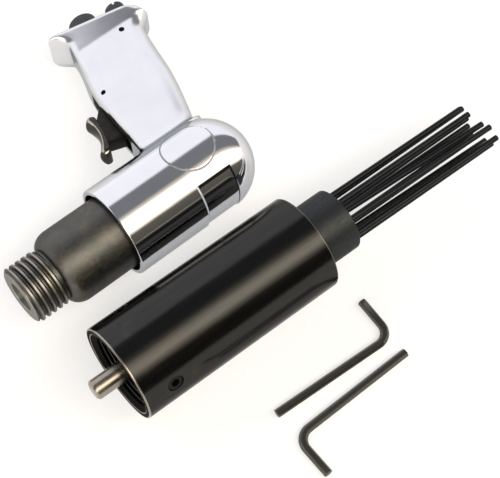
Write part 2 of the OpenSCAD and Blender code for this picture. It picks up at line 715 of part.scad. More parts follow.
module housing_outline() {
    polygon([[0, 0], [housing_r - housing_chamfer, 0], [housing_r, housing_chamfer],
        [housing_r, housing_len - housing_chamfer], [housing_r - housing_chamfer, housing_len],
        [0, housing_len]]);
}
module screw_places() for (k = [0 : screw_count - 1]) rotate([screw_turn + 360 * k / screw_count, 0, 0])
    translate([screw_x, 0, 0]) children();
module scaler_housing() color("#1b1a19") on_attachment() difference() {
    along_x() rotate_extrude() housing_outline();
    along_x(-cut) cylinder(d = socket_d, h = socket_len + cut);
    along_x() cylinder(d1 = housing_d - 2 * mouth_wall, d2 = socket_d, h = mouth_len);
    for (k = [1 : mouth_grooves]) along_x(mouth_len + k * mouth_groove_pitch - mouth_groove_w)
        cylinder(d = socket_d + 2 * mouth_groove_depth, h = mouth_groove_w);
    along_x() cylinder(d = nose_room_d, h = chamber_x + cut);
    along_x(chamber_x) cylinder(d = chamber_d, h = housing_len - front_wall - chamber_x);
    along_x(ring_x) cylinder(d = chamber_d + 2 * ring_depth, h = ring_t + seat_gap);
    along_x() cylinder(d = sleeve_d + seat_play, h = housing_len + cut);
    screw_places() translate([0, 0, socket_d / 2 - cut])
        cylinder(d = screw_d + seat_play, h = housing_r - socket_d / 2 + 2 * cut);
}
module set_screws() color("#26252a") on_attachment() screw_places()
    translate([0, 0, socket_d / 2 + seat_gap]) {
        screw_len = housing_r - screw_sink - socket_d / 2 - seat_gap;
        difference() {
            turned(screw_d, screw_len, fine_chamfer);
            translate([0, 0, screw_len - screw_socket_depth])
                cylinder(d = screw_socket_af / cos(30), h = screw_socket_depth + cut, $fn = 6);
        }
    }

module anvil() color("#8f8578") on_attachment() along_x() rotate_extrude() polygon([
    [0, -shank_reach], [shank_d / 2 - edge_chamfer, -shank_reach], [shank_d / 2, edge_chamfer - shank_reach],
    [shank_d / 2, anvil_guide_x - anvil_neck_len], [anvil_guide_d / 2, anvil_guide_x],
    [anvil_guide_d / 2, anvil_head_x], [anvil_head_d / 2, anvil_head_x],
    [anvil_head_d / 2, anvil_front - edge_chamfer], [anvil_head_d / 2 - edge_chamfer, anvil_front],
    [0, anvil_front]]);
module anvil_bush() color("#b08d4f") on_attachment() along_x(chamber_x + seat_gap / 2) difference() {
    turned(chamber_d - seat_play, anvil_bush_len, fine_chamfer);
    translate([0, 0, -cut]) cylinder(d = anvil_guide_d + running_play, h = anvil_bush_len + 2 * cut);
}
module snap_ring() color("#3a3a3c") on_attachment() along_x(ring_x + seat_gap / 2)
    rotate(ring_gap_angle / 2) rotate_extrude(angle = 360 - ring_gap_angle)
    translate([chamber_d / 2 - ring_inner_w, 0]) square([ring_inner_w + ring_depth - seat_gap, ring_t]);

module needle_holder() color("#6f7174") on_attachment() along_x(holder_x) difference() {
    holder_d = chamber_d - 2 * holder_play;
    translate([0, 0, -holder_skirt_len]) cylinder(d = holder_d, h = holder_skirt_len + holder_t);
    translate([0, 0, -holder_skirt_len - cut])
        cylinder(d = holder_d - 2 * holder_skirt_wall, h = holder_skirt_len + cut);
    for (k = [1 : outer_needles + inner_needles]) rotate(needle_place(k)[1])
        translate([needle_place(k)[0], 0, -cut])
        cylinder(d = needle_d + needle_hole_play, h = holder_t + 2 * cut);
}
module return_spring() color("#77797c") on_attachment() along_x(spring_start + seat_gap)
    coil(spring_coil_d, flange_x - spring_start - 2 * seat_gap, spring_wire, spring_turns);
module nose_sleeve() color("#434547") on_attachment() along_x(flange_x) difference() {
    tube_len = flange_t + front_wall + sleeve_reach;
    union() {
        cylinder(d = chamber_d - 2 * holder_play, h = flange_t - seat_gap);
        rotate_extrude() polygon([[0, 0], [sleeve_d / 2, 0], [sleeve_d / 2, tube_len - sleeve_round],
            [sleeve_d / 2 - sleeve_round, tube_len], [0, tube_len]]);
    }
    translate([0, 0, -cut]) cylinder(d = sleeve_d - 2 * sleeve_wall, h = tube_len + 2 * cut);
}
module needle(k) color("#1d1c1b") on_attachment()
    translate([lean_x, 0, 0]) rotate(needle_lean + splay_angle * splay_shares[k - 1])
    along_x(needle_rear - lean_x + needle_float * forward_shares[k - 1]) rotate(needle_place(k)[1])
    translate([needle_place(k)[0], 0, 0]) {
        turned(needle_head_d, needle_head_len, fine_chamfer);
        turned(needle_d, needle_len, fine_chamfer);
    }

// A hex key with its outer corner at the origin, its long arm along -X and its short arm along +Y
module hex_key(x, y, angle) color("#242326") translate([x - set_x, y - set_y, key_af / 2]) rotate(angle) {
    bar_r = key_af / 2 / cos(30);
    bar = [for (k = [0 : 5]) bar_r * [cos(60 * k), sin(60 * k)]];
    translate([-key_bend_r, key_bend_r, 0]) rotate(-90) rotate_extrude(angle = 90)
        translate([key_bend_r, 0]) polygon(bar);
    translate([-key_bend_r, 0, 0]) rotate([0, -90, 0]) rotate(90)
        linear_extrude(key_long - key_af / 2 - key_bend_r) polygon(bar);
    translate([0, key_bend_r, 0]) rotate([-90, 0, 0]) linear_extrude(key_short - key_af / 2 - key_bend_r)
        polygon(bar);
}

echo(throttle_spring_gap = coil_gap(throttle_coil_d, throttle_end - head_end - 2 * seat_gap, throttle_wire,
    throttle_turns));
echo(return_spring_gap = coil_gap(spring_coil_d, flange_x - spring_start - 2 * seat_gap, spring_wire,
    spring_turns));
echo(roll = roll, set_x = set_x, set_y = set_y, holder_x = holder_x, needle_rear = needle_rear);
echo(body_d = body_d, grip_x = grip_x, housing_d = housing_d, housing_len = housing_len);

handle_body();
barrel();
barrel_o_ring();
hammer_piston();
valve_block();
cycle_valve();
valve_cap();
trigger();
trigger_pin();
throttle_bush();
throttle_o_ring();
throttle_valve();
throttle_spring();
inlet_bush();
inlet_screen();
regulator_screw();
regulator_o_ring();
regulator_pin();
scaler_housing();
set_screws();
anvil();
anvil_bush();
snap_ring();
needle_holder();
return_spring();
nose_sleeve();
for (k = [1 : outer_needles + inner_needles]) needle(k);
hex_key(key_1_x, key_1_y, key_1_angle);  // hex_key_1
hex_key(key_2_x, key_2_y, key_2_angle);  // hex_key_2
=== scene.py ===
import bpy
import bmesh
from math import atan2, cos, degrees, pi, radians, sin, sqrt
from mathutils import Matrix, Vector


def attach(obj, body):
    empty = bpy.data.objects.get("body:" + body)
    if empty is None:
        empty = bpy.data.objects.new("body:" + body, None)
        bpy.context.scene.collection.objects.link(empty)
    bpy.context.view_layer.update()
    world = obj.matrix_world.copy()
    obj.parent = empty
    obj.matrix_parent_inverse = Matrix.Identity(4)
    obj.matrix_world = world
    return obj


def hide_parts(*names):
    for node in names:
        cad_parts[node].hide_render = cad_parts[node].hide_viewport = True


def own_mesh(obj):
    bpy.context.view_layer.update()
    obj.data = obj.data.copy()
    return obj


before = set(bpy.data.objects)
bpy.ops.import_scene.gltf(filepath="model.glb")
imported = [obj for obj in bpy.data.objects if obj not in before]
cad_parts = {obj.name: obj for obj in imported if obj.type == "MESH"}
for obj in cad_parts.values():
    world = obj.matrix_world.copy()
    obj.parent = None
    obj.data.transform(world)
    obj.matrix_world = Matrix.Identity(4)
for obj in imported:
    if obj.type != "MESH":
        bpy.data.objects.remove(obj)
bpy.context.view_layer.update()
print("frame loaded,", len(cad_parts), "nodes")

# Every piece is modelled in millimetres in its own frame, and its frame then puts it in the set
layout = {"middle": (118.45, -17.1895), "pistolHeight": 24.2, "pistolRoll": -5.70801, "gripX": 104.1,
          "rake": 11.3, "attachment": (11.4, -61, 25), "attachmentTurn": -1.45}
metres = Matrix.Scale(0.001, 4)
weld = 0.0005  # corners closer than this are merged
cutPast = 2  # how far a cutter reaches past what it cuts


def inSet(x, y, z):
    # a place in the set, whose middle is at the origin
    return metres @ Matrix.Translation((x - layout["middle"][0], y - layout["middle"][1], z))


def turned(angle, axis):
    return Matrix.Rotation(radians(angle), 4, axis)


# the pistol is rolled until its grip's base touches the floor
pistolFrame = inSet(0, 0, layout["pistolHeight"]) @ turned(layout["pistolRoll"], "X")
gripFrame = pistolFrame @ Matrix.Translation((layout["gripX"], 0, 0)) @ turned(-layout["rake"], "Z")
attachmentFrame = inSet(*layout["attachment"]) @ turned(layout["attachmentTurn"], "Z")
quarterTurn = turned(90, "Z")  # brings a turned piece's axis from X to the grip's length


def span(low, high, count):
    return [low + (high - low) * k / count for k in range(count + 1)]


def roundPoints(x, y, r, count, turn=0):
    return [(x + r * cos(a), y + r * sin(a)) for a in span(turn, turn + 2 * pi, count)[:-1]]


def pickOnly(*objects):
    # selects these objects alone, with the last of them active
    bpy.ops.object.select_all(action="DESELECT")
    for obj in objects:
        obj.select_set(True)
        bpy.context.view_layer.objects.active = obj


def editStart(obj):
    pickOnly(obj)
    bpy.ops.object.mode_set(mode="EDIT")
    bpy.ops.mesh.select_all(action="SELECT")


def editEnd():
    # leaves every face looking outwards
    bpy.ops.mesh.select_all(action="SELECT")
    bpy.ops.mesh.normals_make_consistent(inside=False)
    bpy.ops.object.mode_set(mode="OBJECT")


def startRing(name, points):
    # a circle whose corners are moved onto the points
    pickOnly()
    bpy.ops.mesh.primitive_circle_add(vertices=len(points), radius=1)
    obj = bpy.context.object
    obj.name = name
    for vertex, point in zip(obj.data.vertices, points):
        vertex.co = point
    return obj


def softCorners(corners, steps):
    # outline corners (x, r, rounding), each drawn as a small arc
    outline = []
    for i, (x, r, rounding) in enumerate(corners):
        here = Vector((x, r))
        before = Vector(corners[i - 1][:2]) - here
        after = Vector(corners[(i + 1) % len(corners)][:2]) - here
        if rounding == 0 or before.length == 0 or after.length == 0:
            outline.append((x, r))
            continue
        start = here + before.normalized() * rounding
        end = here + after.normalized() * rounding
        for k in range(steps + 1):
            t = k / steps
            outline.append(tuple(start * (1 - t) ** 2 + here * 2 * t * (1 - t) + end * t ** 2))
    return outline


def lathe(name, outline, steps):
    # spins an outline of (x, r) points round the X axis
    obj = startRing(name, [(x, 0, r) for x, r in outline])
    editStart(obj)
    bpy.ops.mesh.spin(steps=steps, angle=2 * pi, center=(0, 0, 0), axis=(1, 0, 0))
    bpy.ops.mesh.select_all(action="SELECT")
    bpy.ops.mesh.remove_doubles(threshold=weld)
    bpy.ops.mesh.delete_loose()
    editEnd()
    return obj


def loft(name, rings):
    # extrudes the first ring once for each ring after it, and moves the new corners into place
    obj = startRing(name, rings[0])
    corner = obj.data.attributes.new("corner", "INT", "POINT")
    corner.data.foreach_set("value", range(len(rings[0])))
    editStart(obj)
    for ring in rings[1:]:
        bpy.ops.mesh.extrude_region_move()
        mesh = bmesh.from_edit_mesh(obj.data)
        layer = mesh.verts.layers.int["corner"]
        for vertex in mesh.verts:
            if vertex.select:
                vertex.co = ring[vertex[layer]]
        bmesh.update_edit_mesh(obj.data)
    bpy.ops.mesh.select_all(action="SELECT")
    bpy.ops.mesh.fill_holes(sides=0)
    editEnd()
    obj.data.attributes.remove(obj.data.attributes["corner"])
    return obj


def extrude(name, points, way):
    # a flat outline, filled and extruded
    obj = startRing(name, points)
    editStart(obj)
    bpy.ops.mesh.edge_face_add()
    bpy.ops.mesh.extrude_region_move(TRANSFORM_OT_translate={"value": way})
    editEnd()
    return obj


def plate(name, outline, low, high):
    # an outline in X and Y, extruded up Z
    return extrude(name, [(x, y, low) for x, y in outline], (0, 0, high - low))


def applyModifier(obj, kind, **settings):
    pickOnly(obj)
    modifier = obj.modifiers.new(kind.title(), kind)
    for key, value in settings.items():
        setattr(modifier, key, value)
    bpy.ops.object.modifier_apply(modifier=modifier.name)


def wind(name, points, turns, pitch, steps):
    # winds a section round the X axis into a coil with closed ends
    obj = startRing(name, points)
    applyModifier(obj, "SCREW", axis="X", angle=2 * pi, screw_offset=pitch, iterations=turns, steps=steps,
                  render_steps=steps, use_merge_vertices=False)
    editStart(obj)
    bpy.ops.mesh.fill_holes(sides=0)
    editEnd()
    return obj


def combine(obj, other, operation):
    applyModifier(obj, "BOOLEAN", object=other, operation=operation, solver="EXACT")
    bpy.data.objects.remove(other)


def soften(obj, width, segments, angle=40):
    applyModifier(obj, "BEVEL", width=width, segments=segments, limit_method="ANGLE",
                  angle_limit=radians(angle), harden_normals=False)


def settle(obj, matrix):
    # moves a piece to its place in the set, with the place in its mesh
    obj.matrix_world = matrix
    pickOnly(obj)
    bpy.ops.object.transform_apply(location=True, rotation=True, scale=True)
    return obj


def dress(obj, body, nodes, slot, *finishes, angle=32):
    pickOnly(obj)
    bpy.ops.object.shade_smooth_by_angle(angle=radians(angle))
    for finish in finishes:
        obj.data.materials.append(finish)
    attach(obj, body)
    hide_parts(*nodes)


def hexColour(text):
    # sRGB hex to linear
    parts = [int(text[i:i + 2], 16) / 255 for i in (1, 3, 5)]
    return tuple(c / 12.92 if c <= 0.04045 else ((c + 0.055) / 1.055) ** 2.4 for c in parts) + (1,)


def setInputs(tree, node, inputs):
    # inputs are values or sockets, by name or number
    for key, value in inputs.items():
        if isinstance(value, bpy.types.NodeSocket):
            tree.links.new(value, node.inputs[key])
        else:
            node.inputs[key].default_value = value


def addNode(tree, kind, inputs=None, **settings):
    # in a Mix node 6 and 7 are the colours, and in a Map Range node 1 to 4 are the old and new limits
    node = tree.nodes.new(kind)
    for key, value in settings.items():
        setattr(node, key, value)
    setInputs(tree, node, inputs or {})
    return node


def newFinish(name, edge="#ffffff"):
    # edge is the tint of reflections at a glancing angle
    finish = bpy.data.materials.new(name)
    finish.use_nodes = True
    tree = finish.node_tree
    place = addNode(tree, "ShaderNodeTexCoord").outputs["Object"]
    shader = tree.nodes["Principled BSDF"]
    shader.inputs["Specular Tint"].default_value = hexColour(edge)
    return finish, tree, shader, place


def perMetre(size):
    # scale of a pattern whose features are that many millimetres apart
    return 1000 / size


def mottledFinish(name, dark, light, size, detail, coarse=0.5, edge="#ffffff"):
    # a finish whose colour wanders between two tones, in patches of that many millimetres
    finish, tree, shader, place = newFinish(name, edge)
    mottle = addNode(tree, "ShaderNodeTexNoise", {"Vector": place, "Scale": perMetre(size),
                                                  "Detail": detail, "Roughness": coarse}).outputs["Fac"]
    tint = addNode(tree, "ShaderNodeMix", {0: mottle, 6: hexColour(dark), 7: hexColour(light)},
                   data_type="RGBA")
    setInputs(tree, shader, {"Base Color": tint.outputs[2]})
    return finish, tree, shader, place, mottle


noiseLow, noiseHigh = 0.3, 0.7  # most of a noise lies between these
waveBands = 20 / (2 * pi)  # bands of a wave texture to one unit of its scale

# Cast aluminium, buffed to a mirror on the round body and left satin on the grip: the body gives clean bands
# of the studio, with faint buffing waves and specks, and the grip a soft white with cloudy patches.
aluminiumLook = {"bright": "#dfdfe0", "cloud": "#cfd0d4", "edge": "#c0c4c6", "bodyRough": 0.06,
                 "gripRough": 0.18, "speckRough": 0.06, "satinStart": 34, "satinEnd": 46, "cloudSize": 16,
                 "waveSize": 9, "speckSize": 0.8}
aluminium, tree, shader, place, _ = mottledFinish(
    "buffedCastAluminium", aluminiumLook["cloud"], aluminiumLook["bright"], aluminiumLook["cloudSize"], 4, 0.6,
    aluminiumLook["edge"])
alongGrip = addNode(tree, "ShaderNodeSeparateXYZ", {0: place})
satin = addNode(tree, "ShaderNodeMapRange", {
    0: alongGrip.outputs["Y"], 1: aluminiumLook["satinStart"] / 1000, 2: aluminiumLook["satinEnd"] / 1000,
    3: aluminiumLook["bodyRough"], 4: aluminiumLook["gripRough"]})
speck = addNode(tree, "ShaderNodeTexNoise", {"Vector": place, "Scale": perMetre(aluminiumLook["speckSize"]),
                                             "Detail": 3})
rough = addNode(tree, "ShaderNodeMath", {0: speck.outputs["Fac"], 1: aluminiumLook["speckRough"],
                                         2: satin.outputs[0]}, operation="MULTIPLY_ADD")
wave = addNode(tree, "ShaderNodeTexNoise", {"Vector": place, "Scale": perMetre(aluminiumLook["waveSize"]),
                                            "Detail": 1})
ripple = addNode(tree, "ShaderNodeBump", {"Height": wave.outputs["Fac"], "Strength": 0.12,
                                          "Distance": 0.0003})
setInputs(tree, shader, {"Roughness": rough.outputs[0], "Normal": ripple.outputs[0], "Metallic": 1})

# Turned steel with a worn black oxide: gunmetal with a soft sheen, brown specks where the oxide has gone,
# bare crests on the thread, and turning marks round the axis, drawn coarser than real ones so that they show.
oxideLook = {"gunmetal": "#676764", "dark": "#484846", "brown": "#7e6c50", "bare": "#98958f",
             "edge": "#c0c0c0", "speckSize": 1.4, "patchSize": 11, "turningPitch": 3.1416,
             "rubStart": 0.27, "rubEnd": 0.42, "rubbed": 0.6, "crestStart": 14.95, "crestEnd": 15.3,
             "noseX": 18.15, "endX": 0.35, "glossiest": 0.33, "roughest": 0.5}
oxideSteel, tree, shader, place = newFinish("wornBlackOxideSteel", oxideLook["edge"])
patch = addNode(tree, "ShaderNodeTexNoise", {"Vector": place, "Scale": perMetre(oxideLook["patchSize"]),
                                             "Detail": 5, "Roughness": 0.65})
body = addNode(tree, "ShaderNodeMix", {0: patch.outputs["Fac"], 6: hexColour(oxideLook["dark"]),
                                       7: hexColour(oxideLook["gunmetal"])}, data_type="RGBA")
speck = addNode(tree, "ShaderNodeTexNoise", {"Vector": place, "Scale": perMetre(oxideLook["speckSize"]),
                                             "Detail": 4, "Roughness": 0.7})
rub = addNode(tree, "ShaderNodeMath", {0: speck.outputs["Fac"], 1: patch.outputs["Fac"]},
              operation="MULTIPLY")
rubbed = addNode(tree, "ShaderNodeMapRange", {0: rub.outputs[0], 1: oxideLook["rubStart"],
                                              2: oxideLook["rubEnd"], 3: 0, 4: oxideLook["rubbed"]})
worn = addNode(tree, "ShaderNodeMix", {0: rubbed.outputs[0], 6: body.outputs[2],
                                       7: hexColour(oxideLook["brown"])}, data_type="RGBA")
fromAxis = addNode(tree, "ShaderNodeVectorMath", {0: place, 1: pistolFrame.translation},
                   operation="SUBTRACT")
across = addNode(tree, "ShaderNodeVectorMath", {0: fromAxis.outputs[0], 1: (0, 1, 1)}, operation="MULTIPLY")
radius = addNode(tree, "ShaderNodeVectorMath", {0: across.outputs[0]}, operation="LENGTH")
crest = addNode(tree, "ShaderNodeMapRange", {0: radius.outputs["Value"], 1: oxideLook["crestStart"] / 1000,
                                             2: oxideLook["crestEnd"] / 1000, 3: 0, 4: 1})
alongBarrel = addNode(tree, "ShaderNodeSeparateXYZ", {0: place})
# the nose's end face is bare steel, painted light to stand for its highlight, and the thread's crests are
# rubbed bare
onNose, endHighlight = (addNode(tree, "ShaderNodeMath", {0: alongBarrel.outputs["X"],
                                                  1: (oxideLook[key] - layout["middle"][0]) / 1000},
                         operation="LESS_THAN") for key in ("noseX", "endX"))
bareCrest = addNode(tree, "ShaderNodeMath", {0: crest.outputs[0], 1: onNose.outputs[0]},
                    operation="MULTIPLY")
bare = addNode(tree, "ShaderNodeMath", {0: endHighlight.outputs[0], 1: bareCrest.outputs[0]}, operation="MAXIMUM")
colour = addNode(tree, "ShaderNodeMix", {0: bare.outputs[0], 6: worn.outputs[2],
                                         7: hexColour(oxideLook["bare"])}, data_type="RGBA")
sheen = addNode(tree, "ShaderNodeMapRange", {0: speck.outputs["Fac"], 1: noiseLow, 2: noiseHigh,
                                             3: oxideLook["glossiest"], 4: oxideLook["roughest"]})
turning = addNode(tree, "ShaderNodeTexWave", {
    "Vector": place, "Scale": perMetre(oxideLook["turningPitch"]) / waveBands, "Distortion": 1.5,
    "Detail": 2}, bands_direction="X")
marks = addNode(tree, "ShaderNodeBump", {"Height": turning.outputs["Fac"], "Strength": 0.08,
                                         "Distance": 0.0001})
setInputs(tree, shader, {"Base Color": colour.outputs[2], "Roughness": sheen.outputs[0],
                         "Normal": marks.outputs[0], "Metallic": 1})

# Steel tube with an oiled gloss black oxide: black, with a warm grey sheen under the light, drawn marks along
# the tube and a few rubbed places.
housingLook = {"black": "#2e2f31", "warm": "#3d3c38", "rubbed": "#4a463f", "edge": "#cccccc", "rough": 0.13,
               "drawRough": 0.1, "drawSize": 1.2, "drawStretch": 0.06, "patchSize": 22, "rubStart": 0.62,
               "rubEnd": 0.74, "rubShare": 0.5}
housingBlack, tree, shader, place = newFinish("oiledGlossBlackOxide", housingLook["edge"])
lengthwise = addNode(tree, "ShaderNodeMapping", {"Vector": place,
                                                 "Scale": (housingLook["drawStretch"], 1, 1)})
draw = addNode(tree, "ShaderNodeTexNoise", {"Vector": lengthwise.outputs[0],
                                            "Scale": perMetre(housingLook["drawSize"]), "Detail": 3})
patch = addNode(tree, "ShaderNodeTexNoise", {"Vector": place, "Scale": perMetre(housingLook["patchSize"]),
                                             "Detail": 6, "Roughness": 0.62})
base = addNode(tree, "ShaderNodeMix", {0: draw.outputs["Fac"], 6: hexColour(housingLook["black"]),
                                       7: hexColour(housingLook["warm"])}, data_type="RGBA")
rubbed = addNode(tree, "ShaderNodeMapRange", {0: patch.outputs["Fac"], 1: housingLook["rubStart"],
                                              2: housingLook["rubEnd"], 3: 0, 4: housingLook["rubShare"]})
colour = addNode(tree, "ShaderNodeMix", {0: rubbed.outputs[0], 6: base.outputs[2],
                                         7: hexColour(housingLook["rubbed"])}, data_type="RGBA")
gloss = addNode(tree, "ShaderNodeMath", {0: draw.outputs["Fac"], 1: housingLook["drawRough"],
                                         2: housingLook["rough"]}, operation="MULTIPLY_ADD")
marks = addNode(tree, "ShaderNodeBump", {"Height": draw.outputs["Fac"], "Strength": 0.05,
                                         "Distance": 0.0001})
setInputs(tree, shader, {"Base Color": colour.outputs[2], "Roughness": gloss.outputs[0],
                         "Normal": marks.outputs[0], "Metallic": 1})

# Machined steel, bare: warm grey, bright, with a thin straw-coloured stain, and turning marks drawn coarser
# than real ones so that they show.
bareLook = {"steel": "#a6a39d", "stain": "#7f705a", "stainSize": 5, "turningPitch": 3.77, "glossiest": 0.18,
            "roughest": 0.32}
bareSteel, tree, shader, place, stain = mottledFinish("bareMachinedSteel", bareLook["stain"],
                                                      bareLook["steel"], bareLook["stainSize"], 5)
turning = addNode(tree, "ShaderNodeTexWave", {
    "Vector": place, "Scale": perMetre(bareLook["turningPitch"]) / waveBands, "Distortion": 1,
    "Detail": 2}, bands_direction="X")
gloss = addNode(tree, "ShaderNodeMapRange", {0: stain, 1: noiseLow, 2: noiseHigh,
                                             3: bareLook["glossiest"], 4: bareLook["roughest"]})
marks = addNode(tree, "ShaderNodeBump", {"Height": turning.outputs["Fac"], "Strength": 0.08,
                                         "Distance": 0.0001})
setInputs(tree, shader, {"Roughness": gloss.outputs[0], "Normal": marks.outputs[0], "Metallic": 1})

# Blackened steels that differ in colour and sheen: (dark, light, roughest, glossiest, grain in mm).
blackSteels = {
    "phosphatedNeedleSteel": ("#191a1b", "#2e3032", 0.4, 0.26, 1.5),
    "blackenedKeySteel": ("#52514d", "#63615b", 0.22, 0.16, 1.1),
    "greyPhosphateSteel": ("#2a2c2d", "#3e4143", 0.55, 0.4, 1.3),
    "blackBronzedTrigger": ("#191817", "#34312d", 0.3, 0.16, 4),
    "polishedTriggerBronze": ("#2b2926", "#4c4842", 0.12, 0.06, 5),
    # a painted highlight streak for the trigger saddle's shoulders
    "paintedSaddleHighlight": ("#8f8a80", "#bdb8ae", 0.2, 0.1, 5),
    "blackenedFittingSteel": ("#353636", "#555756", 0.5, 0.36, 1.6),
    # a painted highlight line for the housing's front rim
    "paintedRimHighlight": ("#504e4a", "#6a6761", 0.4, 0.26, 2),
    "blackPinSteel": ("#191919", "#303030", 0.5, 0.4, 1),
}
blackEdge = "#cccccc"
blackFinish = {}
for name, (dark, light, roughest, glossiest, grainSize) in blackSteels.items():
    blackFinish[name], tree, shader, _, grain = mottledFinish(name, dark, light, grainSize, 5, 0.65, blackEdge)
    gloss = addNode(tree, "ShaderNodeMapRange", {0: grain, 1: noiseLow, 2: noiseHigh, 3: roughest,
                                                 4: glossiest})
    tooth = addNode(tree, "ShaderNodeBump", {"Height": grain, "Strength": 0.1, "Distance": 0.0002})
    setInputs(tree, shader, {"Roughness": gloss.outputs[0], "Normal": tooth.outputs[0], "Metallic": 0.9})

# Painted shade for the pin holes, the pins' ends, two sides of the recess and the housing's rear rim and
# socket mouth: black and matt.
shadeBlackLook = {"dark": "#0a0a0a", "light": "#191816", "size": 1.2}
paintedShadeBlack, tree, shader, _, _ = mottledFinish("paintedShadeBlack", shadeBlackLook["dark"], shadeBlackLook["light"],
                                             shadeBlackLook["size"], 3)
setInputs(tree, shader, {"Roughness": 0.85, "Specular IOR Level": 0.1})

# Grey, grainy aluminium in the pad's groove: painted shade, which draws the groove as a dark line on the
# mirror body.
grooveShadeLook = {"dark": "#85868b", "light": "#a8a9ae", "size": 0.9}
grooveShadeGrey, tree, shader, _, _ = mottledFinish("paintedGrooveShade", grooveShadeLook["dark"], grooveShadeLook["light"],
                                             grooveShadeLook["size"], 4)
setInputs(tree, shader, {"Roughness": 0.6, "Metallic": 0.6})

# Inner parts: ground steel, drawn spring wire, bearing bronze and nitrile rubber, each a little mottled:
# (light, dark, metallic, roughness, mottle in mm).
innerLooks = {
    "groundSteel": ("#a4a6a9", "#8b8d90", 1, 0.26, 3),
    "drawnSpringWire": ("#9a9c9f", "#74767a", 1, 0.34, 2),
    "bearingBronze": ("#b08d4f", "#8e6d38", 1, 0.38, 3),
    "nitrileRubber": ("#1c1c1c", "#252525", 0, 0.62, 0.8),
}
mottleRough = 0.06
innerFinish = {"paintedShadeBlack": paintedShadeBlack}
for name, (light, dark, metallic, roughness, mottleSize) in innerLooks.items():
    innerFinish[name], tree, shader, _, mottle = mottledFinish(name, dark, light, mottleSize, 4)
    gloss = addNode(tree, "ShaderNodeMapRange", {0: mottle, 1: noiseLow, 2: noiseHigh,
                                                 3: roughness - mottleRough, 4: roughness + mottleRough})
    setInputs(tree, shader, {"Roughness": gloss.outputs[0], "Metallic": metallic})
print("finishes made")

# The inner parts keep their CAD shapes
innerParts = {
    "groundSteel": ["hammer_piston", "valve_block", "cycle_valve", "valve_cap", "throttle_valve",
                    "needle_holder", "snap_ring"],
    "drawnSpringWire": ["throttle_spring"],
    "bearingBronze": ["throttle_bush", "inlet_screen", "anvil_bush"],
    "nitrileRubber": ["barrel_o_ring", "throttle_o_ring", "regulator_o_ring"],
    # the pins' ends get painted shade, so that the pin holes look black
    "paintedShadeBlack": ["trigger_pin", "regulator_pin"],
}
for name, nodes in innerParts.items():
    for node in nodes:
        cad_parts[node].data.materials.clear()
        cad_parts[node].data.materials.append(innerFinish[name])

# Handle: a turned body and a lofted grip run into each other, then the bores, slot and recess are cut
handle = {"front": 54.5, "rear": 137, "radius": 24.2, "rimRound": 1.1, "rimLength": 6, "faceRadius": 4,
          "boreRadius": 19.65, "boreEnd": 110.2, "gapRadius": 21.9, "gapDepth": 12}
pad = {"x": 104.6, "y": 1.2, "radius": 13, "rise": 0.3, "edge": 0.25, "groove": 0.8, "grooveDepth": 0.15,
       "sliceStart": 86, "sliceEnd": 123, "sliceEdge": 2, "low": 12, "high": 40}
# slope and wall are where the recess's front and rear ends lie, at the top and on its floor
recess = {"x": 95.8, "length": 20, "depth": 0.8, "halfAngle": 46, "over": 0.6, "slope": (-1.4, 0.6),
          # the last two are the width and the angle of the strips of painted shade along the recess's rear end
          # and one long edge
          "wall": (0.4, -0.3), "shadeWidth": 0.9, "shadeAngle": 4.7}
# baseRounds go round from the top of the back, and stations are (first, last, steps)
grip = {"length": 108.9, "halfWidth": 20, "rootHalfWidth": 15.5, "halfThickness": 12.5, "frontRound": 6.5,
        "backRound": 10, "cornerRoom": 0.4, "baseRounds": (8, 3.6, 8, 8), "baseRoundStart": 80,
        "baseRoundEnd": 97, "rootFillet": 3.2, "rootSpread": 0.5, "rootSinks": (6, 0.4), "filletTurn": 78,
        "waistStart": 28, "waistEnd": 65, "waistCurve": 1.5, "lipReach": 10.2, "lipLength": 10,
        "heelReach": 6.6, "heelLength": 11, "heelHold": 6, "heelEdge": 9, "swell": 2.1, "swellLength": 12.9,
        "swellSkew": 4.5, "dish": 0.6, "dishStart": 62, "frontEase": 2.2, "easeStart": 70, "easeEnd": 95,
        "floorPlay": 0.2, "baseEdge": 2.5, "arcSteps": 12, "flatSteps": 8, "stations": (33, 92, 38),
        "flareStart": 93}
# a pin hole or a well is (across, along, radius), and the slot (front, back, start, end, half its width)
holes = {"pivot": (-18.1, 61.7, 1.3), "regulatorPin": (7.9, 94.7, 1.55), "inlet": (-5.7, 95.9, 7),
         "regulator": (13.6, 86, 4.8), "slot": (-51, -11, 31, 69.5, 4.5), "slotRound": 0.8, "pinTurn": 0.07,
         "pinHalf": 25, "wellLength": 40}


def flare(distance, reach, length, curve=2):
    return reach * max(0, 1 - distance / length) ** curve


def smooth(t):
    t = min(1, max(0, t))
    return t * t * (3 - 2 * t)


def edgeInset(s, edge):
    d = max(0, s - grip["length"] + edge)
    return edge - sqrt(max(0, edge * edge - d * d))


def gripSide(s, w):
    # half the thickness at a station, where the sides run out into a flare that is longest at the lip
    length = grip["swellLength"] - grip["swellSkew"] * max(-1, min(1, w / grip["halfWidth"]))
    dished = smooth((s - grip["dishStart"]) / (grip["length"] - length - grip["dishStart"]))
    return (grip["halfThickness"] - grip["dish"] * dished
            + flare(grip["length"] - s, grip["swell"], length, 1) - edgeInset(s, grip["baseEdge"]))


def gripReach(s):
    # how far the grip reaches forward, back and to each side at a station
    waist = grip["waistEnd"] - grip["waistStart"]
    taper = max(0, (grip["waistEnd"] - max(s, grip["waistStart"])) / waist) ** grip["waistCurve"]
    half = grip["halfWidth"] - (grip["halfWidth"] - grip["rootHalfWidth"]) * taper
    left = grip["length"] - s
    ease = grip["frontEase"] * (1 - smooth((s - grip["easeStart"]) / (grip["easeEnd"] - grip["easeStart"])))
    front = half + ease + flare(left, grip["lipReach"], grip["lipLength"]) - edgeInset(s, grip["baseEdge"])
    back = (half + flare(max(0, left - grip["heelHold"]), grip["heelReach"], grip["heelLength"])
            - edgeInset(s, grip["heelEdge"]))
    return front, back, gripSide(s, 0)


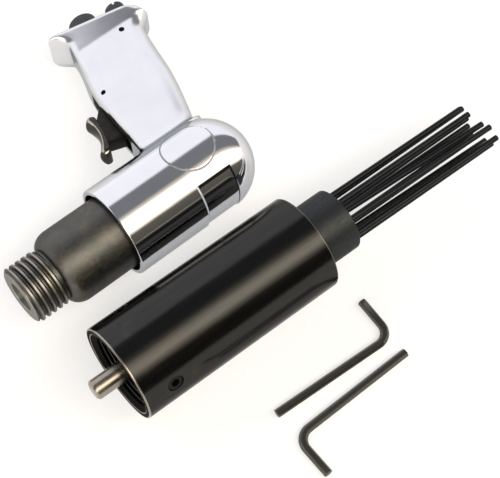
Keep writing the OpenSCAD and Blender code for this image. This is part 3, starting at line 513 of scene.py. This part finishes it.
def gripSection(s):
    # points round the grip at a station, each with the way it faces
    front, back, side = gripReach(s)
    nearBase = smooth((s - grip["baseRoundStart"]) / (grip["baseRoundEnd"] - grip["baseRoundStart"]))
    arcs = []
    for c in range(4):
        atBack = c in (0, 3)
        r = grip["backRound"] if atBack else grip["frontRound"]
        r = min(r + (grip["baseRounds"][c] - r) * nearBase, side - grip["cornerRoom"])
        w = back - r if atBack else r - front
        z = (1 if c < 2 else -1) * (side - r)
        arcs.append([(w + r * cos(a), z + r * sin(a), cos(a), sin(a)) for a in
                     (pi / 2 * (c + k / grip["arcSteps"]) for k in range(grip["arcSteps"] + 1))])
    section = []
    for c in range(4):
        section += arcs[c]
        end, start = arcs[c][-1], arcs[(c + 1) % 4][0]
        for k in range(1, grip["flatSteps"]):
            t = k / grip["flatSteps"]
            w, z = (end[i] + (start[i] - end[i]) * t for i in (0, 1))
            section.append((w, z, *end[2:]))
    lower = 1 - grip["floorPlay"] / side  # the lower side stays clear of the floor
    return [(w, z * (gripSide(s, w) / side if z > 0 else lower), *facing) for w, z, *facing in section]


def gripRing(s):
    return [(w, s, z) for w, z, _, _ in gripSection(s)]


def rootRing(out, up):
    # the section spread outwards, and dropped to a height above the round body
    rake = radians(layout["rake"])
    ring = []
    for i in range(len(gripSection(grip["waistStart"]))):
        s = grip["waistStart"]
        for _ in range(3):  # the section changes along the grip, so each place gives a better one
            w, z, faceW, faceZ = gripSection(s)[i]
            w, z = w + faceW * out, z + faceZ * out
            s = (sqrt((handle["radius"] + up) ** 2 - z * z) + w * sin(rake)) / cos(rake)
        ring.append((w, s, z))
    return ring


domeX = handle["rear"] - handle["radius"]
rimEnd = handle["front"] + handle["rimLength"]
outline = [(handle["front"], 0)]
outline += softCorners([(handle["front"], handle["faceRadius"], 0),
                        (handle["front"], handle["radius"], handle["rimRound"]),
                        (rimEnd, handle["radius"], 0)], 6)
outline += [(x, handle["radius"]) for x in span(rimEnd + 1, domeX, 44)]
outline += [(domeX + handle["radius"] * sin(a), handle["radius"] * cos(a)) for a in span(0, pi / 2, 40)[1:]]
bodyShell = lathe("handleCasting", outline, 172)
settle(bodyShell, pistolFrame)

fillet = grip["rootFillet"]
rings = [rootRing(fillet + grip["rootSpread"], -sink) for sink in grip["rootSinks"]]
rings += [rootRing(fillet * (1 - cos(a)), fillet * (1 - sin(a)))
          for a in span(radians(grip["filletTurn"]), 0, 10)]
edgeStart = grip["length"] - grip["baseEdge"]
stations = (span(*grip["stations"]) + span(grip["flareStart"], edgeStart, 24)
            + [edgeStart + grip["baseEdge"] * sin(a) for a in span(0, pi / 2, 8)[1:]])
gripShell = settle(loft("gripShell", rings + [gripRing(s) for s in stations]), gripFrame)
combine(bodyShell, gripShell, "UNION")


def padDisc(radius):
    return plate("padDisc", roundPoints(pad["x"], pad["y"], radius, 96), pad["low"], pad["high"])


def padCylinder(radius):
    start, end, edge = pad["sliceStart"], pad["sliceEnd"], pad["sliceEdge"]
    return lathe("padCylinder", [(start, 0), (start, radius)]
                 + [(x, radius) for x in span(start + edge, end - edge, 30)] + [(end, radius), (end, 0)], 180)


# the bare oval pad: a slice of a slightly larger cylinder with its edge softened, and a fine groove round it
groove = padDisc(pad["radius"] + pad["groove"])
combine(groove, padCylinder(handle["radius"] - pad["grooveDepth"]), "DIFFERENCE")
combine(bodyShell, settle(groove, pistolFrame), "DIFFERENCE")
padSlice = padCylinder(handle["radius"] + pad["rise"])
combine(padSlice, padDisc(pad["radius"]), "INTERSECT")
soften(padSlice, pad["edge"], 3, 50)
combine(bodyShell, settle(padSlice, pistolFrame), "UNION")

boreFront = handle["front"] - cutPast
gapEnd = handle["front"] + handle["gapDepth"]
bore = lathe("bore", [(boreFront, 0), (boreFront, handle["gapRadius"]), (gapEnd, handle["gapRadius"]),
                      (gapEnd, handle["boreRadius"]), (handle["boreEnd"], handle["boreRadius"]),
                      (handle["boreEnd"], 0)], 128)
combine(bodyShell, settle(bore, pistolFrame), "DIFFERENCE")

# the shallow recess, a section with a sloped front end, spun through its angle
recessEnd = recess["x"] + recess["length"]
recessCutter = startRing("recess", [(x, 0, handle["radius"] + d) for x, d in
                                    ((recess["x"] + recess["slope"][1], -recess["depth"]),
                                     (recessEnd - recess["shadeWidth"], -recess["depth"]),
                                     (recessEnd + recess["wall"][1], -recess["depth"]),
                                     (recessEnd + recess["wall"][0], recess["over"]),
                                     (recess["x"] + recess["slope"][0], recess["over"]))])
editStart(recessCutter)
bpy.ops.mesh.edge_face_add()
bpy.ops.transform.rotate(value=radians(recess["halfAngle"] - 90), orient_axis="X", center_override=(0, 0, 0))
bpy.ops.mesh.spin(steps=60, angle=radians(-2 * recess["halfAngle"]), center=(0, 0, 0), axis=(1, 0, 0))
bpy.ops.mesh.select_all(action="SELECT")
bpy.ops.mesh.remove_doubles(threshold=weld)
editEnd()
combine(bodyShell, settle(recessCutter, pistolFrame), "DIFFERENCE")

low, back, start, end, half = holes["slot"]
slotCutter = plate("slotCutter", [(low, start), (back, start), (back, end), (low, end)], -half, half)
soften(slotCutter, holes["slotRound"], 3)
combine(bodyShell, settle(slotCutter, gripFrame), "DIFFERENCE")
for key in ("pivot", "regulatorPin"):
    through = plate("through", roundPoints(*holes[key], 36, holes["pinTurn"]), -holes["pinHalf"],
                    holes["pinHalf"])
    combine(bodyShell, settle(through, gripFrame), "DIFFERENCE")
for key in ("inlet", "regulator"):
    w, s, r = holes[key]
    well = lathe("well", [(0, 0), (0, r), (holes["wellLength"], r), (holes["wellLength"], 0)], 48)
    combine(bodyShell, settle(well, gripFrame @ Matrix.Translation((w, s, 0)) @ quarterTurn), "DIFFERENCE")
editStart(bodyShell)
bpy.ops.mesh.vert_connect_concave()  # the cuts leave concave faces, which would shade badly
bpy.ops.object.mode_set(mode="OBJECT")

# painted shade in the pin holes and along two sides of the recess, and grey painted shade in the pad's groove
nearly = {"hole": 1.02, "wall": 0.5, "recess": 0.1, "turn": 1, "pad": 0.02}
inGrip = gripFrame.inverted()
inPistol = pistolFrame.inverted()
acrossGrip = (gripFrame.to_3x3() @ Vector((0, 0, 1))).normalized()
for face in bodyShell.data.polygons:
    spot = inGrip @ face.center
    for w, s, r in (holes["pivot"], holes["regulatorPin"]):
        inHole = Vector((spot.x - w, spot.y - s)).length < r * nearly["hole"]
        if inHole and abs(acrossGrip.dot(face.normal)) < nearly["wall"]:
            face.material_index = 1
    spot = inPistol @ face.center
    fromAxis = Vector((spot.y, spot.z)).length
    fromTop = degrees(atan2(-spot.y, spot.z)) - 90 + recess["halfAngle"]
    fromEnd = recessEnd - spot.x
    onFloor = (abs(fromAxis - handle["radius"] + recess["depth"]) < nearly["recess"]
               and -nearly["turn"] < fromTop < 180 and 0 < fromEnd < recess["length"])
    if onFloor and (fromTop < recess["shadeAngle"] or fromEnd < recess["shadeWidth"]):
        face.material_index = 1
    fromPad = Vector((spot.x - pad["x"], spot.y - pad["y"])).length - pad["radius"]
    if (-nearly["pad"] < fromPad < pad["groove"] + nearly["pad"] and spot.z > pad["low"]
            and fromAxis < handle["radius"] - nearly["pad"]):
        face.material_index = 2
dress(bodyShell, "pistol", ["handle_body"], "polished_aluminium", aluminium, paintedShadeBlack, grooveShadeGrey)
print("handle made,", len(bodyShell.data.polygons), "faces")

# Barrel: turned with its bores, and a helical thread wound on its nose, which an envelope fades in and out
barrel = {"length": 94, "radius": 19.6, "noseLength": 19, "shoulderLength": 8.5, "bodyStart": 30,
          "rootRadius": 13.8, "crestRadius": 15.3, "chamfer": 0.5, "pitch": 3.35, "land": 0.9, "flank": 0.9,
          "flankMore": 0.3, "rootSink": 0.5, "firstCrest": 2, "threadTurns": 7, "turnsBefore": 2,
          "envelope": [(0.4, 12), (0.4, 13.9), (1.5, 15.2), (1.7, 15.6), (16.4, 15.6), (17.9, 13.7),
                       (17.9, 12)],
          "mouthRadius": 8.1, "mouthDepth": 3.2, "shankRadius": 5.15, "shankBore": 32, "pistonRadius": 9.5,
          "grooveX": 72.5, "grooveWidth": 2, "grooveRadius": 17.75}
shoulderRise = barrel["radius"] - barrel["rootRadius"]
grooveEnd = barrel["grooveX"] + barrel["grooveWidth"]
outline = [(0, barrel["mouthRadius"]), (0, barrel["rootRadius"] - barrel["chamfer"]),
           (barrel["chamfer"], barrel["rootRadius"])]
outline += [(barrel["noseLength"] + barrel["shoulderLength"] * (1 - cos(a)),
             barrel["rootRadius"] + shoulderRise * sin(a)) for a in span(0, pi / 2, 18)]
outline += [(x, barrel["radius"]) for x in span(barrel["bodyStart"], barrel["grooveX"], 20)]
outline += [(barrel["grooveX"], barrel["grooveRadius"]), (grooveEnd, barrel["grooveRadius"]),
            (grooveEnd, barrel["radius"]), (barrel["length"], barrel["radius"]),
            (barrel["length"], barrel["pistonRadius"]), (barrel["shankBore"], barrel["pistonRadius"]),
            (barrel["shankBore"], barrel["shankRadius"]), (barrel["mouthDepth"], barrel["shankRadius"])]
barrelShell = lathe("barrelTurning", outline, 128)
threadStart = barrel["firstCrest"] - barrel["turnsBefore"] * barrel["pitch"]
landHalf = barrel["land"] / 2
footHalf = landHalf + barrel["flank"] + barrel["flankMore"]
footRadius = barrel["rootRadius"] - barrel["rootSink"]
tooth = wind("noseThread", [(threadStart + x, 0, r) for x, r in
                            ((-footHalf, footRadius), (-landHalf, barrel["crestRadius"]),
                             (landHalf, barrel["crestRadius"]), (footHalf, footRadius))],
             barrel["threadTurns"], barrel["pitch"], 72)
combine(tooth, lathe("envelope", barrel["envelope"], 128), "INTERSECT")
combine(barrelShell, tooth, "UNION")
settle(barrelShell, pistolFrame)
dress(barrelShell, "pistol", ["barrel"], "black_oxide_barrel", oxideSteel)
print("barrel made,", len(barrelShell.data.polygons), "faces")

# Trigger: a crowned saddle on a web that turns about the pivot. webFeet are shares of the saddle's half
# length, and the last entry is the sideways tilt of the faces that get a painted highlight streak.
trigger = {"length": 26, "width": 11, "thickness": 6, "waist": 3.4, "crown": 3, "sag": 3.2, "reach": 33.8,
           "lean": 4, "middle": 44.2, "endTurn": 84, "endNarrow": 0.35, "edge": 0.7, "webHalf": 4,
           "webSink": 1, "webEdge": 0.6, "webBack": [(-16.6, 35.6), (-15.9, 42), (-15.9, 50)],
           "webFront": (-22.6, 60.4), "webFeet": (-0.62, 0.85, 0), "bossRadius": 3, "bossEdge": 0.4,
           "eyeHalf": 9, "polishDepth": 0.2, "highlightTilt": (0.62, 0.95)}
lean = radians(trigger["lean"])


def onTrigger(offset, along):
    return (offset * cos(lean) + along * sin(lean) - trigger["reach"],
            along * cos(lean) - offset * sin(lean) + trigger["middle"])


def thinned(share):
    return 1 - (1 - trigger["waist"] / trigger["thickness"]) * (1 - share * share)


def saddleBack(share):
    # how far back the saddle reaches, at a share of its half length
    return trigger["sag"] * (1 - share * share) + trigger["thickness"] * thinned(share)


def webFoot(share):
    # where the web meets the back of the saddle
    return onTrigger(saddleBack(share) - trigger["webSink"],
                     share * (trigger["length"] - trigger["thickness"]) / 2)


def triggerRing(share, turn):
    section = [(trigger["thickness"], -trigger["width"] / 2), (trigger["thickness"], trigger["width"] / 2)]
    section += [(trigger["crown"] * (1 - cos(a)), -trigger["width"] / 2 * sin(a))
                for a in span(-pi / 2, pi / 2, 24)]
    half = trigger["thickness"] / 2
    ring = []
    for offset, z in section:
        o = (half + (offset - half) * cos(turn)) * thinned(share) + trigger["sag"] * (1 - share * share)
        along = share * (trigger["length"] / 2 - half) + (-1 if share < 0 else 1) * half * sin(turn)
        ring.append((*onTrigger(o, along), z * (1 - trigger["endNarrow"] * (1 - cos(turn)))))
    return ring


ends = span(0, radians(trigger["endTurn"]), 8)[1:]
saddle = loft("triggerSaddle", [triggerRing(-1, a) for a in reversed(ends)]
              + [triggerRing(share, 0) for share in span(-1, 1, 24)] + [triggerRing(1, a) for a in ends])
soften(saddle, trigger["edge"], 3, 50)
pivotX, pivotY, pinRadius = holes["pivot"]
lowerFoot, upperFoot, middleFoot = (webFoot(share) for share in trigger["webFeet"])
web = plate("triggerWeb", [lowerFoot, *trigger["webBack"], (pivotX + trigger["bossRadius"], pivotY),
                           (pivotX, pivotY + trigger["bossRadius"]), trigger["webFront"], upperFoot,
                           middleFoot], -trigger["webHalf"], trigger["webHalf"])
soften(web, trigger["webEdge"], 2, 60)
boss = plate("triggerBoss", roundPoints(pivotX, pivotY, trigger["bossRadius"], 40), -trigger["webHalf"],
             trigger["webHalf"])
soften(boss, trigger["bossEdge"], 2, 60)
eye = plate("triggerEye", roundPoints(pivotX, pivotY, pinRadius, 32), -trigger["eyeHalf"], trigger["eyeHalf"])
combine(saddle, web, "UNION")
combine(saddle, boss, "UNION")
combine(saddle, eye, "DIFFERENCE")
for face in saddle.data.polygons:  # fingers keep the saddle polished, and its shoulders get a painted highlight streak
    spot = Vector((face.center.x + trigger["reach"], face.center.y - trigger["middle"]))
    along = spot.x * sin(lean) + spot.y * cos(lean)
    share = min(1, max(-1, along / (trigger["length"] - trigger["thickness"]) * 2))
    if spot.x * cos(lean) - spot.y * sin(lean) < saddleBack(share) - trigger["polishDepth"]:
        inSaddleHighlight = trigger["highlightTilt"][0] < abs(face.normal.z) < trigger["highlightTilt"][1] and face.normal.x < 0
        face.material_index = 2 if inSaddleHighlight else 1
settle(saddle, gripFrame)
dress(saddle, "trigger", ["trigger"], "dark_trigger", blackFinish["blackBronzedTrigger"],
      blackFinish["polishedTriggerBronze"], blackFinish["paintedSaddleHighlight"], angle=40)
print("trigger made")

# Fittings in the grip's base: the threaded inlet bush and the slotted regulator
bush = {"start": 97.2, "spigotRadius": 6.95, "spigotLength": 11.7, "radius": 7.8, "reach": 10.6,
        "spigotRound": 0.4, "shoulderRound": 0.3, "mouthRound": 1.3, "mouthChamfer": 0.8, "holeRadius": 4,
        "threadRadius": 5.725, "threadDepth": 0.6, "threadLength": 12, "threadPitch": 1.337,
        "threadRunOut": 1.4}
bushEnd = bush["spigotLength"] + bush["reach"]
threadEnd = bushEnd - bush["threadLength"]
outline = softCorners([(0, bush["spigotRadius"], bush["spigotRound"]),
                       (bush["spigotLength"], bush["spigotRadius"], 0),
                       (bush["spigotLength"], bush["radius"], bush["shoulderRound"]),
                       (bushEnd, bush["radius"], bush["mouthRound"]),
                       (bushEnd, bush["threadRadius"] + bush["mouthChamfer"], 0)], 5)
x = bushEnd - bush["mouthChamfer"]
while x > threadEnd + bush["threadRunOut"]:  # the pipe thread, as fine rings
    outline += [(x, bush["threadRadius"]),
                (x - bush["threadPitch"] / 2, bush["threadRadius"] + bush["threadDepth"])]
    x -= bush["threadPitch"]
outline += [(x, bush["threadRadius"]), (threadEnd, bush["threadRadius"]), (threadEnd, bush["holeRadius"]),
            (0, bush["holeRadius"])]
inletBush = lathe("inletBush", outline, 72)
settle(inletBush, gripFrame @ Matrix.Translation((holes["inlet"][0], bush["start"], 0)) @ quarterTurn)
dress(inletBush, "pistol", ["inlet_bush"], "dark_fittings", blackFinish["blackenedFittingSteel"])

# a groove on the stem is (start, end, radius)
knob = {"start": 88, "stemRadius": 4.75, "stemLength": 21.2, "stemRound": 0.4, "pinGroove": (5.1, 8.3, 4.1),
        "sealGroove": (12.25, 13.75, 3.4), "radius": 5.5, "length": 11.1, "backRound": 0.5, "endRound": 1.4,
        "slotWidth": 1.6, "slotDepth": 2, "slotHalf": 8}
knobEnd = knob["stemLength"] + knob["length"]
corners = [(0, 0, 0), (0, knob["stemRadius"], knob["stemRound"])]
for start, end, r in (knob["pinGroove"], knob["sealGroove"]):
    corners += [(start, knob["stemRadius"], 0), (start, r, 0), (end, r, 0), (end, knob["stemRadius"], 0)]
corners += [(knob["stemLength"], knob["stemRadius"], 0),
            (knob["stemLength"], knob["radius"], knob["backRound"]),
            (knobEnd, knob["radius"], knob["endRound"]), (knobEnd, 0, 0)]
regulator = lathe("regulatorScrew", softCorners(corners, 5), 64)
slotFloor, slotTop, half = knobEnd - knob["slotDepth"], knobEnd + cutPast, knob["slotWidth"] / 2
driverSlot = plate("driverSlot", [(slotFloor, -half), (slotTop, -half), (slotTop, half), (slotFloor, half)],
                   -knob["slotHalf"], knob["slotHalf"])
combine(regulator, driverSlot, "DIFFERENCE")
settle(regulator, gripFrame @ Matrix.Translation((holes["regulator"][0], knob["start"], 0)) @ quarterTurn)
dress(regulator, "regulator", ["regulator_screw"], "dark_fittings", blackFinish["blackenedFittingSteel"])
print("fittings made")

# Housing of the needle attachment, with the grooved socket. The socket mouth's band of painted highlight goes
# (outwards, along).
housing = {"radius": 25, "length": 111.5, "rimRound": 0.7, "mouthRound": 0.3, "frontRound": 0.2,
           "socketRadius": 19.9, "socketLength": 32, "mouthRadius": 21.8, "mouthDepth": 2.4, "grooves": 5,
           "groovePitch": 1.9, "grooveWidth": 1.5, "grooveDepth": 0.7, "bushHole": 16.55, "chamberX": 44,
           "chamberRadius": 21.7, "ringX": 52.2, "ringRadius": 22.9, "ringWidth": 1.8, "frontWall": 4.5,
           "sleeveHole": 16.55, "rimHighlight": 0.65, "rearHighlight": 0.6, "mouthHighlight": (0.3, 0.2), "shadeEnd": 0.05,
           "shadeTilt": 0.3}
chamberEnd = housing["length"] - housing["frontWall"]
ringEnd = housing["ringX"] + housing["ringWidth"]
outline = softCorners([(0, housing["mouthRadius"], housing["mouthRound"]),
                       (0, housing["radius"], housing["rimRound"]),
                       (housing["length"], housing["radius"], housing["rimRound"]),
                       (housing["length"], housing["sleeveHole"], housing["frontRound"])], 4)
outline += [(chamberEnd, housing["sleeveHole"]), (chamberEnd, housing["chamberRadius"]),
            (ringEnd, housing["chamberRadius"]), (ringEnd, housing["ringRadius"]),
            (housing["ringX"], housing["ringRadius"]), (housing["ringX"], housing["chamberRadius"]),
            (housing["chamberX"], housing["chamberRadius"]), (housing["chamberX"], housing["bushHole"]),
            (housing["socketLength"], housing["bushHole"]),
            (housing["socketLength"], housing["socketRadius"])]
for k in range(housing["grooves"], 0, -1):
    x = housing["mouthDepth"] + k * housing["groovePitch"]
    outline += [(x, housing["socketRadius"]),
                (x - housing["grooveWidth"] / 2, housing["socketRadius"] + housing["grooveDepth"]),
                (x - housing["grooveWidth"], housing["socketRadius"])]
outline += [(housing["mouthDepth"], housing["socketRadius"])]
tube = lathe("housingTube", outline, 144)

# The set screws, whose holes are measured from their inner ends: (height, radius)
setScrew = {"count": 3, "x": 16.5, "turn": 70, "radius": 4, "edge": 0.5, "sink": 0.5, "gap": 0.2,
            "socketAcross": 4, "socketDepth": 3, "socketPast": 1,
            "hole": [(-1.2, 0), (-1.2, 4.05), (4.5, 4.05), (7, 5.4), (7, 0)]}
screwLength = housing["radius"] - setScrew["sink"] - housing["socketRadius"] - setScrew["gap"]
socketFloor = screwLength - setScrew["socketDepth"]
hexPoints = roundPoints(0, 0, setScrew["socketAcross"] / sqrt(3), 6)
screwSet = None
for k in range(setScrew["count"]):
    outwards = (turned(setScrew["turn"] + 360 / setScrew["count"] * k, "X")
                @ Matrix.Translation((setScrew["x"], 0, housing["socketRadius"] + setScrew["gap"]))
                @ turned(-90, "Y"))
    combine(tube, settle(lathe("screwHole", setScrew["hole"], 40), outwards), "DIFFERENCE")
    screw = lathe("setScrew", softCorners([(0, 0, 0), (0, setScrew["radius"], setScrew["edge"]),
                                           (screwLength, setScrew["radius"], setScrew["edge"]),
                                           (screwLength, 0, 0)], 3), 48)
    hexCutter = extrude("hexCutter", [(socketFloor, y, z) for y, z in hexPoints],
                        (setScrew["socketDepth"] + setScrew["socketPast"], 0, 0))
    combine(screw, hexCutter, "DIFFERENCE")
    settle(screw, attachmentFrame @ outwards)
    if screwSet is None:
        screwSet = screw
        screwSet.name = "setScrews"
    else:  # the three screws are one part of the set
        pickOnly(screw, screwSet)
        bpy.ops.object.join()
for face in tube.data.polygons:  # the rims' edges get painted highlights (bare steel at the rear, a grey line at the front), and the rear rim's face and the mouth's bevel painted shade
    x = face.center.x
    reach = Vector((face.center.y, face.center.z)).length
    onRim = reach > housing["radius"] - housing["rimHighlight"]
    onMouth = reach < housing["mouthRadius"] + housing["mouthHighlight"][0] and x < housing["mouthHighlight"][1]
    if x < housing["rearHighlight"] and (onRim or onMouth):
        face.material_index = 1
    elif x > housing["length"] - housing["rimHighlight"] and onRim:
        face.material_index = 3
    elif (x < housing["mouthDepth"] - housing["shadeEnd"] and reach > housing["socketRadius"]
          and face.normal.x < -housing["shadeTilt"]):
        face.material_index = 2
settle(tube, attachmentFrame)
dress(tube, "attachment", ["scaler_housing"], "black_housing", housingBlack, bareSteel, paintedShadeBlack,
      blackFinish["paintedRimHighlight"])
dress(screwSet, "attachment", ["set_screws"], "black_housing", blackFinish["blackPinSteel"])
print("housing made,", len(tube.data.polygons), "faces")

# Anvil: its chamfered shank stands out of the socket
anvil = {"reach": 14, "shankRadius": 5.1, "tipRound": 1.1, "taper": 6, "guideX": 40, "guideRadius": 9,
         "headX": 54.1, "headRadius": 17, "front": 61.7, "edge": 0.5, "neckRound": 0.3, "headBack": 0.4,
         "headFront": 0.8}
outline = softCorners([(-anvil["reach"], 0, 0),
                       (-anvil["reach"], anvil["shankRadius"] - anvil["tipRound"], anvil["edge"]),
                       (anvil["tipRound"] - anvil["reach"], anvil["shankRadius"], anvil["edge"]),
                       (anvil["guideX"] - anvil["taper"], anvil["shankRadius"], anvil["edge"]),
                       (anvil["guideX"], anvil["guideRadius"], anvil["edge"]),
                       (anvil["headX"], anvil["guideRadius"], anvil["neckRound"]),
                       (anvil["headX"], anvil["headRadius"], anvil["headBack"]),
                       (anvil["front"], anvil["headRadius"], anvil["headFront"]), (anvil["front"], 0, 0)], 3)
anvilPiece = settle(lathe("anvilShank", outline, 72), attachmentFrame)
dress(anvilPiece, "anvil", ["anvil"], "bright_steel", bareSteel)

# Nose sleeve: a flanged tube with a rounded mouth
sleeve = {"flangeX": 103, "flangeRadius": 21.4, "flangeWidth": 3.8, "edge": 0.2, "radius": 16.5, "wall": 1.7,
          "end": 132.5, "mouthRound": 1, "mouthInner": 0.4}
flangeEnd = sleeve["flangeX"] + sleeve["flangeWidth"]
innerRadius = sleeve["radius"] - sleeve["wall"]
outline = softCorners([(sleeve["flangeX"], sleeve["flangeRadius"], sleeve["edge"]),
                       (flangeEnd, sleeve["flangeRadius"], sleeve["edge"]), (flangeEnd, sleeve["radius"], 0),
                       (sleeve["end"], sleeve["radius"], sleeve["mouthRound"]),
                       (sleeve["end"], innerRadius, sleeve["mouthInner"]),
                       (sleeve["flangeX"], innerRadius, sleeve["edge"])], 4)
sleevePiece = settle(lathe("noseSleeve", outline, 96), attachmentFrame)
dress(sleevePiece, "attachment", ["nose_sleeve"], "grey_sleeve", blackFinish["greyPhosphateSteel"])
print("anvil and sleeve made")

# Needles: one is turned, and the others are copies, each pushed forward and splayed by its share.
# A circle of needles is (count, radius, turn).
needle = {"length": 150, "radius": 1.5, "tipRound": 0.35, "headRadius": 2.3, "headLength": 3,
          "headRound": 0.4, "rear": 66, "travel": 10, "leanX": 81.9, "lean": -0.9, "splay": 1.8,
          "circles": [(8, 12, -57), (4, 5.5, -15.5)],
          "forward": [0.95, 0.75, 0.8, 0.2, 0.05, 0.5, 0.75, 0.8, 0.55, 0.55, 0.2, 0.3],
          "splays": [-0.35, 0.15, 0.45, 0.05, 0.2, -0.35, 0, 0.15, 0.5, -0.9, 0.2, 0.35]}
places = []
for count, fromMiddle, turn in needle["circles"]:
    places += [(fromMiddle, turn + 360 * (k + len(places)) / count) for k in range(1, count + 1)]
outline = softCorners([(0, 0, 0), (0, needle["headRadius"], needle["headRound"]),
                       (needle["headLength"], needle["headRadius"], needle["headRound"]),
                       (needle["headLength"], needle["radius"], 0),
                       (needle["length"], needle["radius"], needle["tipRound"]), (needle["length"], 0, 0)], 3)
firstNeedle = lathe("needle01", outline, 28)
needles = [firstNeedle]
for k in range(2, len(places) + 1):
    copy = firstNeedle.copy()
    copy.data = firstNeedle.data.copy()
    copy.name = f"needle{k:02d}"
    bpy.context.scene.collection.objects.link(copy)
    needles.append(copy)
for k, piece in enumerate(needles):
    fromMiddle, turn = places[k]
    x = needle["rear"] - needle["leanX"] + needle["travel"] * needle["forward"][k]
    y, z = fromMiddle * sin(radians(turn)), -fromMiddle * cos(radians(turn))
    leaning = (attachmentFrame @ Matrix.Translation((needle["leanX"], 0, 0))
               @ turned(needle["lean"] + needle["splay"] * needle["splays"][k], "Z"))
    settle(piece, leaning @ Matrix.Translation((x, y, z)))
    node = f"needle_{k + 1:02d}"
    dress(piece, node, [node], "dark_needles", blackFinish["phosphatedNeedleSteel"])
print("needles made")

# Return spring: a wire section wound forward, which rides with the needle holder
spring = {"start": 84.7, "length": 18.1, "wire": 2.4, "coilRadius": 18.5, "turns": 4, "travel": 6}
wireRadius = spring["wire"] / 2
wireRing = roundPoints(spring["start"] + wireRadius, -spring["coilRadius"], wireRadius, 16)
coil = wind("returnSpring", [(x, 0, z) for x, z in wireRing], spring["turns"],
            (spring["length"] - spring["wire"]) / spring["turns"], 48)
settle(coil, attachmentFrame)
dress(coil, "needle_holder", ["return_spring"], "spring_steel", innerFinish["drawnSpringWire"])
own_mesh(coil)
print("return spring made")

# Hex keys: a six-sided bar carried along one arm, round the bend and along the other
hexKey = {"across": 4, "longArm": 70.5, "shortArm": 25, "bend": 7.5, "edge": 0.22,
          "places": [(129.7, -120.3, -3.7), (60.9, -130.8, 179.7)]}
bend, half = hexKey["bend"], hexKey["across"] / 2
section = roundPoints(0, 0, hexKey["across"] / sqrt(3), 6)
stops = [(half - hexKey["longArm"], 0, 0)]
stops += [(-bend + bend * sin(a), bend - bend * cos(a), a) for a in span(0, pi / 2, 16)]
stops += [(0, hexKey["shortArm"] - half, pi / 2)]
barRings = [[(x + u * sin(a), y - u * cos(a), v) for u, v in section] for x, y, a in stops]
for k, (x, y, turn) in enumerate(hexKey["places"], 1):
    bar = loft(f"hexKey{k}", barRings)
    soften(bar, hexKey["edge"], 2, 45)
    settle(bar, inSet(x, y, half) @ turned(turn, "Z"))
    dress(bar, f"key_{k}", [f"hex_key_{k}"], "dark_keys", blackFinish["blackenedKeySteel"], angle=25)
print("keys made")

# A plain white sweep, and a studio that is white behind and above, has a grey gap where the camera stands and
# a warm softbox in front, and is dark below that. A band is (degrees from overhead, colour, power).
studio = {"behind": "#f0f0f6", "gap": "#86888c", "softbox": "#fff4e2", "floor": "#b4b4b5", "paper": "#a9a9ab",
          "strength": 1, "floorSize": 6, "floorGlow": 0.56, "paperGrain": 3, "sideLift": 0.35,
          "bands": [(-180, "behind", 1.62), (-88, "behind", 1.62), (-70, "behind", 1.46),
                    (-31.5, "behind", 1.46), (-26, "gap", 1), (6, "gap", 1), (14, "softbox", 1),
                    (20, "softbox", 2.6), (30, "softbox", 5), (39, "softbox", 5), (46, "softbox", 2.4),
                    (55, "softbox", 0.14), (86, "softbox", 0.1), (100, "softbox", 0.3)]}
pickOnly()
bpy.ops.mesh.primitive_plane_add(size=studio["floorSize"])
floor = bpy.context.object
floor.name = "studioFloor"
floorFinish, tree, shader, _, _ = mottledFinish("whitePaperSweep", studio["paper"], studio["floor"],
                                                studio["paperGrain"], 3)
setInputs(tree, shader, {"Roughness": 0.9, "Emission Color": (1, 1, 1, 1),
                         "Emission Strength": studio["floorGlow"]})  # lit from below, so shadows stay faint
floor.data.materials.append(floorFinish)

world = bpy.data.worlds.new("studio")
bpy.context.scene.world = world
world.use_nodes = True
tree = world.node_tree
way = addNode(tree, "ShaderNodeSeparateXYZ", {0: addNode(tree, "ShaderNodeTexCoord").outputs["Generated"]})
ahead = addNode(tree, "ShaderNodeMath", {0: way.outputs["Y"], 1: -1}, operation="MULTIPLY")
side = addNode(tree, "ShaderNodeMath", {0: way.outputs["X"], 1: way.outputs["X"]}, operation="MULTIPLY")
lift = addNode(tree, "ShaderNodeMath", {0: side.outputs[0], 1: studio["sideLift"], 2: way.outputs["Z"]},
               operation="MULTIPLY_ADD")
overhead = addNode(tree, "ShaderNodeMath", {0: ahead.outputs[0], 1: lift.outputs[0]}, operation="ARCTAN2")
share = addNode(tree, "ShaderNodeMapRange", {0: overhead.outputs[0], 1: radians(-180), 2: radians(180),
                                             3: 0, 4: 1})
ramp = addNode(tree, "ShaderNodeValToRGB", {0: share.outputs[0]})
stops = ramp.color_ramp.elements
stops.remove(stops[1])
for k, (angle, name, power) in enumerate(studio["bands"]):
    stop = stops[0] if k == 0 else stops.new((angle + 180) / 360)
    stop.position = (angle + 180) / 360
    stop.color = [c * power for c in hexColour(studio[name])[:3]] + [1]
setInputs(tree, tree.nodes["Background"], {"Color": ramp.outputs["Color"], "Strength": studio["strength"]})
bpy.context.scene.view_settings.view_transform = "Standard"

# The camera stands where the photographer's did
view = {"eye": (-0.23475, -0.29340, 0.6619), "aim": (-0.01505, -0.02820, 0.025), "lens": 108, "sensor": 36,
        "nearest": 0.01}
bpy.ops.object.camera_add(location=view["eye"])
camera = bpy.context.object
camera.data.lens = view["lens"]
camera.data.sensor_width = view["sensor"]
camera.data.sensor_fit = "HORIZONTAL"
camera.data.clip_start = view["nearest"]
camera.rotation_euler = (Vector(view["aim"]) - Vector(view["eye"])).to_track_quat("-Z", "Y").to_euler()
bpy.context.scene.camera = camera
print("studio and camera set")
